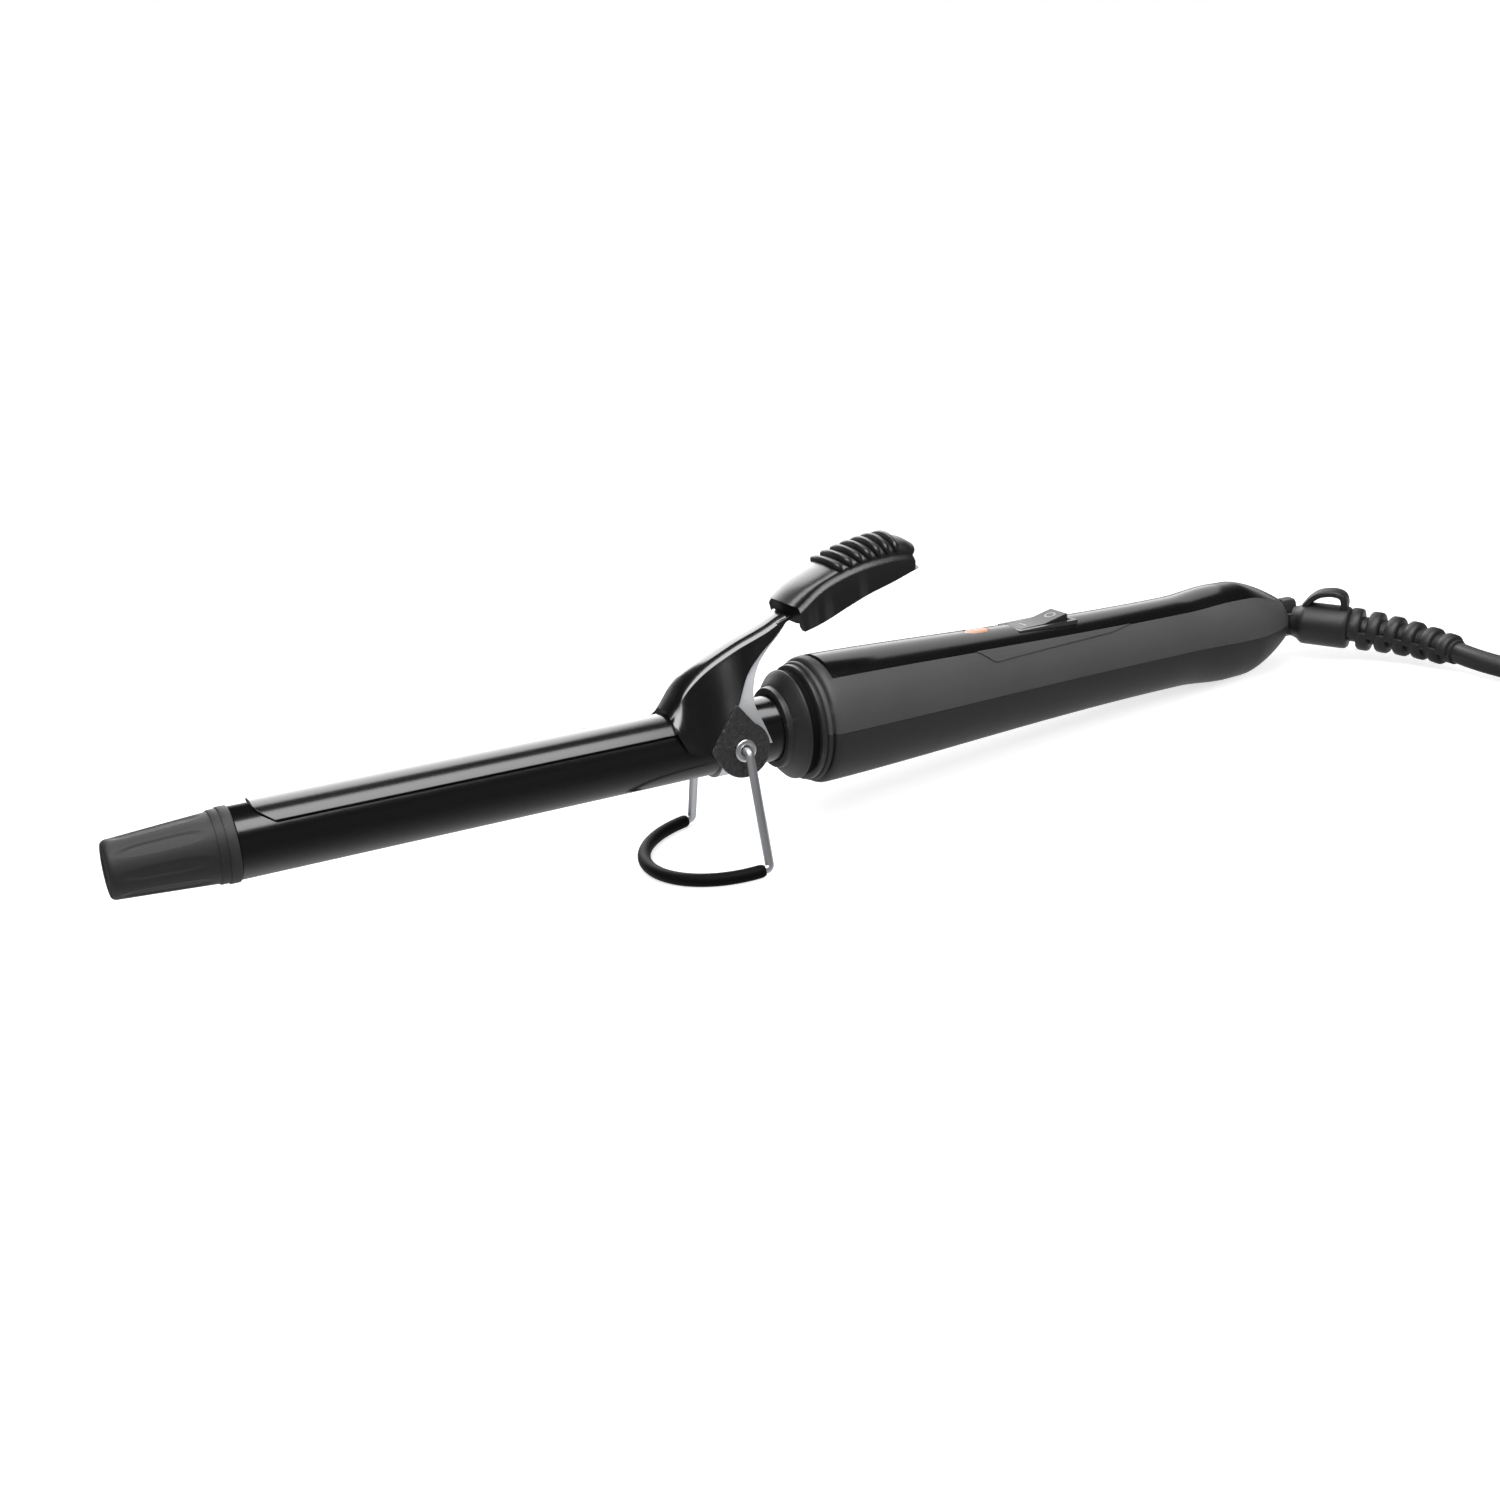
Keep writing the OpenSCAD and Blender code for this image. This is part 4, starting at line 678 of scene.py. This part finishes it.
def hood_row(x, top, edge, half, bulge):
    """A section across the lever: over its outside and back along its inside."""
    def layer(inset):
        crest = HOOD_OUT + top - inset
        side = hood_side(crest, edge, half - inset, bulge)
        return ([(x, -q.x, q.y) for q in side] + [(x, 0, crest)]
                + [(x, q.x, q.y) for q in reversed(side)])
    return layer(0) + layer(LEVER_T)[::-1]


hood = grid([hood_row(*row) for row in between(LEVER, 5)], close_v=True, caps=True)
piece("lever_hood", *hood, "lever", "lever", ["lever"], bevel=0.2, segs=3, sharp=38,
      slot="lever_enamel")

STRIP_X, STRIP_Z, CLIMB = 15.5, HOOD_OUT + 17, 20


def leaned(part):
    """A shape laid along the strip into the thumb rest, which climbs at CLIMB degrees."""
    c, n = on_circle(1, [CLIMB])[0]
    return [(STRIP_X + x * c - z * n, y, STRIP_Z + x * n + z * c) for x, y, z in part[0]], part[1]


def tongue(width, thick):
    return leaned(prism(oblong(11.9, 26.2, width), -thick, 0))


piece("lever_tongue", *tongue(2 * STRIP_HALF, LEVER_T), "lever", "lever", bevel=0.2, segs=3,
      slot="lever_enamel")
EAR = [(-8.4, 1.0), (-4.8, 6.3), (-1.4, 11.2), (-0.6, 10.6)] + on_circle(EAR_R, range(62, -151, -6))
PIVOT_HOLE = on_circle(1.85, range(0, 360, 10))
for low_y in (-EAR_OUT, EAR_IN):
    high_y = low_y + EAR_OUT - EAR_IN
    plate = piece("lever_ear", *prism(EAR, low_y, high_y, "y"), "ear", "lever", bevel=0.25,
                  segs=3, sharp=40, slot="lever_enamel")
    cut(plate, *prism(PIVOT_HOLE, low_y - 2, high_y + 2, "y"))

# A bare inner flange shows behind the rear edge of each wall: height, from, to, outer face
FLANGE = [(0, 5, 7.9, EAR_IN), (4.5, 3, 6.2, EAR_IN), (9.8, -1, 4.1, EAR_IN - 0.3),
          (13.7, 0.3, 4.9, 8.8), (17.8, 4.2, 7.6, 6.3), (21, 8.6, 11.2, 4.8),
          (23.5, 12.5, 14.6, 3.9), (25.5, 15, 16.6, 3.6)]
for side in (-1, 1):
    rows = [[(x, side * y, v) for x, y in ((start, n), (stop, n), (stop, n - 0.6), (start, n - 0.6))]
            for v, start, stop, n in between(FLANGE, 4)]
    piece("lever_flange", *grid(rows, close_v=True, caps=True), "flange", "lever", bevel=0.12,
          sharp=45, slot="bright_steel")


# ---------------------------------------------------------------- thumb rest
# Its underside, the ledge round it, its crown and how far its end bows out, from front to back
UNDER = [(19.8, 14.3), (24.9, 15.7), (31.9, 18.4), (37.7, 20.5), (44.2, 22.3), (49.4, 24),
         (50.8, 24.5)]
LEDGE = [(18.8, 19.6), (24.4, 23.5), (30, 25.8), (37.4, 27.5), (44.2, 28.1), (48.8, 28),
         (50.9, 27.5)]
CROWN = [(15.8, 21.9), (21, 25.1), (28, 28.1), (36, 30.8), (44.5, 32.3), (50, 32.1),
         (53.3, 30.3)]
BOW = [0, 0, 0, 0, 0, 1, 3.2]
THUMB = between([(*u, *l, *c, b) for u, l, c, b in zip(UNDER, LEDGE, CROWN, BOW)], 6)
THUMB_HALF, LEDGE_IN, LEDGE_UP, VALLEY = 8.0, 1.3, 0.3, 0.35


def crown_arc(row, t):
    """A point on the rounded top, from the near ledge at 0 to the far one at 1."""
    _, _, ledge_x, ledge_z, crown_x, crown_z, _ = row
    across, k = on_circle(1, [180 * t])[0]
    return Vector((ledge_x + (crown_x - ledge_x) * k, -(THUMB_HALF - LEDGE_IN) * across,
                   ledge_z + HOOD_OUT + LEDGE_UP + (crown_z - VALLEY - ledge_z - LEDGE_UP) * k))


def thumb_row(row):
    """A section across the thumb rest: over its top and back under it."""
    under_x, under_z, ledge_x, ledge_z, _, _, bow = row
    shoulder = [(0, -0.95), (0.1, -0.75), (0.4, -0.4), (0.8, 0.0)]
    out = [(ledge_x, y - THUMB_HALF, ledge_z + HOOD_OUT + z) for y, z in shoulder]
    out += [crown_arc(row, k / 28) for k in range(29)]
    out += [(ledge_x, THUMB_HALF - y, ledge_z + HOOD_OUT + z) for y, z in reversed(shoulder)]
    out += [(under_x + bow * u, -THUMB_HALF * v, under_z + HOOD_OUT)
            for v, u in on_circle(1, range(180, -1, -6))]
    return out


thumb = piece("thumb_body", *grid([thumb_row(row) for row in THUMB], close_v=True, caps=True),
              "thumb", "lever", ["thumb_rest"], bevel=0.3, segs=3, sharp=40, slot="thumb_plastic")
# It is hollow underneath, with a slot for the strip
cut(thumb, *leaned(prism(oblong(16.25, 36.5, 12.8), -21 - LEVER_T, -1 - LEVER_T)))
cut(thumb, *tongue(2 * STRIP_HALF + 0.1, LEVER_T + 0.05))


def row_at_crown(x):
    """The thumb rest's section whose crown is at x."""
    for r0, r1 in zip(THUMB, THUMB[1:]):
        if r0[4] <= x <= r1[4]:
            t = (x - r0[4]) / (r1[4] - r0[4])
            return [u + (v - u) * t for u, v in zip(r0, r1)]
    return THUMB[-1]


def rib(x):
    """A tall rounded rib that follows the crown and runs out at the ledges."""
    row = row_at_crown(x)
    path = [crown_arc(row, 0.05 + 0.90 * k / 32) for k in range(33)]
    lean = Vector((0.94, 0, 0.34))
    rows = []
    for k, q in enumerate(path):
        grow = min(1, 7 * k / 32, 7 * (1 - k / 32)) ** 0.5
        way = heading(path, k)
        side = (lean - way * way.dot(lean)).normalized()
        lift = side.cross(way)
        lift = -lift if lift.z < 0 else lift
        wide, tall = 0.15 + 0.8 * grow, 0.2 + 1.15 * grow
        rows.append([q + side * wide * u + lift * tall * v
                     for u, v in on_circle(1, [22.5 * m for m in range(16)])])
    return grid(rows, close_v=True, caps=True)


RIB_FROM, RIB_PITCH, RIBS = 29.8, 2.85, 7
ribs = [rib(RIB_FROM + RIB_PITCH * i) for i in range(RIBS)]
piece("thumb_ribs", *join(*ribs), "rib", "lever", sharp=50, slot="thumb_plastic")


# ---------------------------------------------------------------- rivets and stand
# Each rivet by distance out from the ear's face
RIVET = [(-3.7, 1.15), (-3.7, 1.8), (0.1, 1.8), (0.1, 2.55), (0.25, 2.68), (0.5, 2.68), (0.68, 2.5),
         (0.78, 2.2), (0.8, 1.9), (0.74, 1.6), (0.5, 1.32), (0.2, 1.17)]
RIVET_OUT = EAR_OUT + 0.8
for side in (-1, 1):
    rivet = turned([(EAR_OUT + out, r) for out, r in RIVET], 48)
    piece("rivet", *moved(rivet, Matrix.Rotation(math.radians(90 * side), 4, "Z")), "rivet",
          "handle", ["pivot_rivets"], sharp=40, slot="bright_steel")


def filleted(points, radii):
    """A polyline with each inner corner rounded."""
    pts = [Vector(p) for p in points]
    out = [pts[0]]
    for a, b, c, r in zip(pts, pts[1:], pts[2:], radii):
        if not r:
            out.append(b)
            continue
        u, v = (a - b).normalized(), (c - b).normalized()
        half = math.acos(max(-1, min(1, u.dot(v)))) / 2
        reach = min(r / math.tan(half), (a - b).length * 0.49, (c - b).length * 0.49)
        out += [arched(b + u * reach, b, b + v * reach, k / 8) for k in range(9)]
    out.append(pts[-1])
    return out


FOOT = Matrix.Translation((0, 0, -LEG)) @ Matrix.Rotation(-REST, 4, "Y")
FOOT_R, WIRE_R, STAND_GAP = 21.0, 1.05, 0.3
STAND_HALF = RIVET_OUT + STAND_GAP + WIRE_R
WIRE_IN = RIVET_OUT - 3.4
# The sleeve's radius is this much less than in the solids, and it lies lower by as much
THINNER = 0.15


def foot_arc(angles, z):
    return [FOOT @ Vector((x, y, z)) for x, y in on_circle(FOOT_R, angles)]


def cuff(t):
    """The sleeve's radius, eased at both ends."""
    return SLEEVE_R - THINNER - 0.3 * max(0, 1 - t * 60, 1 - (1 - t) * 60) ** 2


arc = foot_arc(range(96, 265, 3), 0)
wire = filleted([(0, WIRE_IN, 0), (0, STAND_HALF, 0), (0, FOOT_R, -LEG)] + arc
                + [(0, -FOOT_R, -LEG), (0, -STAND_HALF, 0), (0, -WIRE_IN, 0)],
                [1.5, 1.6] + [0] * len(arc) + [1.6, 1.5])
piece("stand_bow", *swept(wire, lambda t: WIRE_R, 20, normal=Vector((1, 0, 0))), "steel", "stand",
      ["stand_wire"], sharp=60, slot="stand_steel")
piece("foot_sleeve", *swept(foot_arc(range(94, 267, 2), -THINNER), cuff, 24), "sleeve", "stand",
      ["stand_sleeve"], sharp=60, slot="soft_sleeve")

# ---------------------------------------------------------------- controls
ROCKER_HALF, ROCKER_LOW, ROCKER_RISE, ROCKER_TILT = 7.3, 2.9, 0.72, math.radians(7)
MARK_AT, MARK_T = 4.3, 0.12
side_view = [(-ROCKER_HALF, 3.5), (0.25 - ROCKER_HALF, 3.62), (0, ROCKER_LOW),
             (ROCKER_HALF - 0.25, 3.62), (ROCKER_HALF, 3.5), (ROCKER_HALF - 0.3, 0.6), (3, -1.4),
             (-3, -1.4), (0.3 - ROCKER_HALF, 0.6)]
ROCKER = (IRON @ Matrix.Translation((SWITCH_AT, 0, WAIST_R - 2))
          @ Matrix.Rotation(-ROCKER_TILT, 4, "Y"))
piece("rocker", *prism(side_view, -3.5, 3.5, "y"), "rocker", "rocker", ["switch_rocker"],
      where=ROCKER, bevel=0.25, segs=3, sharp=25, slot="switch_plastic")


def printed(name, part):
    """A mark drawn from height 0 down, laid just proud of the rocker's two slopes."""
    verts = [(x, y, z + 0.03 + ROCKER_LOW + ROCKER_RISE * abs(x) / (ROCKER_HALF - 0.25))
             for x, y, z in part[0]]
    piece(name, verts, part[1], "mark", "rocker", where=ROCKER)


hoop = turned([(0, 1.5), (-MARK_T, 1.5), (-MARK_T, 1.05), (0, 1.05)], 32)
printed("mark_on", prism(oblong(-MARK_AT, 0.6, 3.0), -MARK_T, 0))
printed("mark_off", moved(hoop, Matrix.Translation((MARK_AT, 0, 0))
                          @ Matrix.Rotation(math.radians(-90), 4, "Y")))

# Lamp: a small clear-orange dome, by share of its width and height
DOME = [(1.0, -3.2), (1.0, -0.45), (0.96, -0.2), (0.88, -0.05), (0.7, 0.05), (0.45, 0.1),
        (0.15, 0.12)]
lamp_top = handle_r(LAMP_AT) + 0.12
rows = [[(LAMP_AT + x * share, y * share, lamp_top + h) for x, y in oval(0, 6.9, 4.1, 14)]
        for share, h in DOME]
piece("lamp", *grid(rows, close_v=True, caps=True), "lamp", "handle", ["lamp_lens"], sharp=60,
      slot="lamp_orange")


# ---------------------------------------------------------------- strain relief
RELIEF_R, CORE_R, END_R, RINGS = 5.8, 3.6, 4.2, 6
PITCH = BEND / (RINGS - 0.2)


def cord_piece(name, part, key, nodes=(), where=RELIEF, slot="cord_rubber", **looks):
    piece(name, *part, key, "cord", nodes, where, slot=slot, **looks)


neck = [(4.4, 0.01), (4.6, 4.1), (5.4, 4.3), (6.2, 4.6), (7.0, 5.3), (7.6, 5.7), (8.4, 5.8),
        (18.2, 5.8), (19.3, 5.7), (19.9, 5.2), (20, 4.4), (20, 0.01)]
cord_piece("relief_sleeve", turned(neck, 64, closed_outline=False), "relief", ["strain_relief"],
           sharp=50)
knuckle = on_circle(4.2, range(90, 271, 10)) + [(5.2, -3.5), (5.2, 3.5)]
cord_piece("relief_knuckle", prism(knuckle, -3.0, 3.0), "relief", bevel=0.3, segs=3, sharp=30)


def core_r(t):
    return CORE_R - 0.35 * max(0, (t - 0.75) / 0.25)


path = [(SLEEVE_END - 2, 0, 0)] + [bend_point(t * BEND / 24) for t in range(25)]
cord_piece("relief_core", swept(path, core_r, 24), "relief", sharp=60)


def half_ring(angle, roll):
    """A band round rather more than half of the relief, its middle turned by roll."""
    r = RELIEF_R - (RELIEF_R - END_R) * angle / BEND
    place = (Matrix.Translation(bend_point(angle)) @ Matrix.Rotation(math.radians(-angle), 4, "Z")
             @ Matrix.Rotation(math.radians(roll), 4, "X"))
    edge = [(-1.7, 2.4), (-1.7, r - 0.9), (-1.52, r - 0.35), (-1.1, r - 0.05)]
    band = edge + [(0, r)] + [(-x, y) for x, y in reversed(edge)]
    return moved(turned(band, 36, -98, 196), place)


rings = [half_ring((i + 0.3) * PITCH, 0) for i in range(RINGS)]
rings += [half_ring((i + 0.8) * PITCH, 180) for i in range(RINGS - 1)]
cord_piece("relief_rings", join(*rings), "relief", bevel=0.18, sharp=40)
loop = spline([(7.6, 0, 4.9), (9.0, 0, 6.9), (10.9, 0, 8.5), (13.2, 0, 9.25), (15.6, 0, 9.4),
               (17.3, 0, 8.75), (18.0, 0, 7.2), (18.0, 0, 4.9)], 6)


def strap(i):
    """A section of the hang loop: wide, thin and nearly square."""
    way = heading(loop, i)
    lift = Vector((-way.z, 0, way.x))
    return [loop[i] + Vector((0, 2.5 * math.copysign(abs(u) ** 0.5, u), 0))
            + lift * 0.95 * math.copysign(abs(v) ** 0.6, v)
            for u, v in on_circle(1, range(0, 360, 15))]


cord_piece("relief_loop", grid([strap(i) for i in range(len(loop))], close_v=True, caps=True),
           "relief", sharp=60)

# ---------------------------------------------------------------- plug
PLUG = TABLE @ Matrix.Translation((256.4, -32, 24.9)) @ Matrix.Rotation(math.radians(-90), 4, "Z")


def block(x, width, height, share):
    """A rounded rectangle across the plug; share is the corner's radius over the short side."""
    r = min(width, height) * share
    return [(x, v * (width / 2 - r) + y, w * (height / 2 - r) + z)
            for v, w, start in ((1, 1, 0), (-1, 1, 90), (-1, -1, 180), (1, -1, 270))
            for y, z in on_circle(r, [start + 11.25 * k for k in range(9)])]


BLOCKS = [(0.05, 7.4, 7.4, 0.49), (3, 7.9, 7.9, 0.49), (6, 8.6, 8.6, 0.49), (9, 9.4, 9.4, 0.49),
          (11, 10.4, 10.2, 0.48), (12.2, 14.6, 12.8, 0.44), (13.6, 18.4, 15.4, 0.42),
          (16, 21.8, 17.9, 0.40), (18, 25.2, 19.9, 0.39), (20.5, 30.4, 22.6, 0.37),
          (23, 34.9, 25.1, 0.36), (25, 35.9, 25.75, 0.36), (38.6, 35.9, 25.75, 0.36),
          (39.5, 35.3, 25.1, 0.355), (39.95, 34.0, 23.8, 0.35)]
cord_piece("plug", grid([block(*row) for row in BLOCKS], close_v=True, caps=True), "plug",
           ["plug_body"], PLUG, "plug_plastic", sharp=50)
SIDE_Y, PIN_Y, PIN_R, PIN_ROUND = 17.75, 9.5, 2.4, 56.6
grips = []
for x in (26.5, 29, 31.5, 34, 36.5):
    bar = [(x + y, z) for _, y, z in block(0, 1.1, 11.0, 0.49)]
    for side in (-1, 1):
        grips.append(prism(bar, side * SIDE_Y - 0.35, side * SIDE_Y + 0.15, "y"))
cord_piece("plug_grips", join(*grips), "plug", where=PLUG, slot="plug_plastic")
pin = [(39.9, 0.01), (39.9, PIN_R), (49.9, PIN_R), (50.0, 2.35), (50.1, 2.35), (50.2, PIN_R)]
pin += [(PIN_ROUND + u, max(0.01, r)) for r, u in on_circle(PIN_R, range(0, 91, 10))]
pins = [moved(turned(pin, 40, closed_outline=False), Matrix.Translation((0, side * PIN_Y, 0)))
        for side in (-1, 1)]
cord_piece("plug_prongs", join(*pins), "rivet", ["plug_pins"], PLUG, "bright_steel", sharp=40)

# ---------------------------------------------------------------- stage and lights
FALL, EVEN_LIGHT = 0.026, 0.45
floor_mesh = bpy.data.meshes.new("floor")
floor_mesh.from_pydata([(-6, -6, 0), (6, -6, 0), (6, 6, 0), (-6, 6, 0)], [], [(0, 1, 2, 3)])
floor = bpy.data.objects.new("floor", floor_mesh)
bpy.context.scene.collection.objects.link(floor)

# The floor adds a plain glow for the eye only, so it reads white and still takes a soft shadow.
# In reflections it is white under the iron and falls off to both sides, to half in FALL metres.
paper = bpy.data.materials.new("paper")
paper.use_nodes = True
tree = paper.node_tree
tree.nodes.clear()
ray = add(tree, "LightPath").outputs
seen = maths(tree, "MAXIMUM", maths(tree, "MAXIMUM", ray["Is Camera Ray"], ray["Is Glossy Ray"]),
             ray["Is Transmission Ray"])
place = add(tree, "NewGeometry").outputs["Position"]
far = add(tree, "VectorMath", {0: place}, operation="LENGTH").outputs["Value"]
glow = add(tree, "MapRange", {"From Min": 0.35, "To Min": 0.66, "To Max": 0.95, "Value": far})
glow = add(tree, "Emission", {"Strength": maths(tree, "MULTIPLY", seen, glow.outputs["Result"])})
matte = add(tree, "BsdfDiffuse", {"Color": (0.62, 0.62, 0.62, 1)})
both = add(tree, "AddShader", {0: matte.outputs[0], 1: glow.outputs[0]})
away = maths(tree, "DIVIDE", add(tree, "SeparateXYZ", {0: place}).outputs["Y"], FALL)
fall = maths(tree, "DIVIDE", 0.98, maths(tree, "ADD", maths(tree, "MULTIPLY", away, away), 1.0))
mirrored = add(tree, "Emission", {"Strength": maths(tree, "ADD", fall, 0.12)})
which = add(tree, "MixShader", {0: ray["Is Glossy Ray"], 1: both.outputs[0], 2: mirrored.outputs[0]})
add(tree, "OutputMaterial", {"Surface": which.outputs[0]})
floor_mesh.materials.append(paper)

# The camera sees white. Reflections see a white sweep low behind the object in a dark room, with
# a faint wall all round it, and matt surfaces take an even, weaker light.
world = bpy.data.worlds.new("studio")
world.use_nodes = True
tree = world.node_tree
way = add(tree, "TexCoord").outputs["Generated"]
height = add(tree, "SeparateXYZ", {0: way}).outputs["Z"]
toward = add(tree, "VectorMath", {0: way, 1: (0.35, 0.937, 0)}, operation="DOT_PRODUCT")


def ramp(source, low, high, start, stop):
    return add(tree, "MapRange", {"From Min": low, "From Max": high, "To Min": start,
                                  "To Max": stop, "Value": source},
               interpolation_type="SMOOTHSTEP").outputs["Result"]


behind = ramp(toward.outputs["Value"], 0.5, 0.85, 0.0, 1.0)
low_sky = ramp(height, 0.12, 0.42, 1.0, 0.0)
front_wall = maths(tree, "MULTIPLY", ramp(height, 0.3, 0.6, 1.0, 0.0), 0.12)
room = maths(tree, "MAXIMUM", maths(tree, "MULTIPLY", behind, low_sky),
             maths(tree, "ADD", front_wall, 0.01))
ray = add(tree, "LightPath").outputs
mirror = ray["Is Glossy Ray"]
open_view = maths(tree, "MAXIMUM", ray["Is Camera Ray"], ray["Is Transmission Ray"])
shown = maths(tree, "MAXIMUM", open_view, maths(tree, "MULTIPLY", mirror, room))
soft = maths(tree, "SUBTRACT", 1.0, maths(tree, "MAXIMUM", open_view, mirror))
strength = maths(tree, "ADD", shown, maths(tree, "MULTIPLY", soft, EVEN_LIGHT))
feed(tree, tree.nodes["Background"].inputs["Color"], (1, 1, 1, 1))
feed(tree, tree.nodes["Background"].inputs["Strength"], strength)
bpy.context.scene.world = world


def area(name, spot, aim, size, power, matte=True, gloss=True):
    """A rectangular light that the camera does not see."""
    data = bpy.data.lights.new(name, "AREA")
    data.shape = "RECTANGLE"
    data.size, data.size_y = size
    data.energy = power
    lamp = bpy.data.objects.new(name, data)
    lamp.location = spot
    lamp.rotation_euler = (Vector(aim) - Vector(spot)).to_track_quat("-Z", "Y").to_euler()
    lamp.visible_diffuse = matte
    lamp.visible_glossy = gloss
    lamp.visible_camera = False
    bpy.context.scene.collection.objects.link(lamp)


def panel_light(name, up, half, reach, low_x, high_x, radiance):
    """A panel seen in reflections only, its middle up degrees from the front horizon."""
    y, z = on_circle(reach, [up])[0]
    width = 2 * reach * math.tan(math.radians(half))
    x, length = (low_x + high_x) / 2, high_x - low_x
    area(name, (x, -y, 0.03 + z), (x, 0, 0.03), (length, width),
         radiance * math.pi * length * width, matte=False)


area("key", (-0.25, -0.05, 0.75), (0, 0, 0.03), (0.9, 0.35), 6, gloss=False)
area("fill", (0.15, -0.75, 0.45), (0.02, 0, 0.03), (0.7, 0.5), 4, gloss=False)
area("side", (0.7, -0.3, 0.3), (0.15, 0, 0.03), (0.3, 0.3), 2.5, gloss=False)
panel_light("softbox", 72, 16, 0.8, -0.7, 0.42, 8.5)
panel_light("rim_panel", 146, 32, 0.8, -0.04, 0.38, 6.3)
panel_light("rim_rear", 146, 32, 0.8, 0.38, 0.9, 1.5)
bpy.context.scene.view_settings.view_transform = "Standard"
bpy.context.scene.view_settings.look = "None"
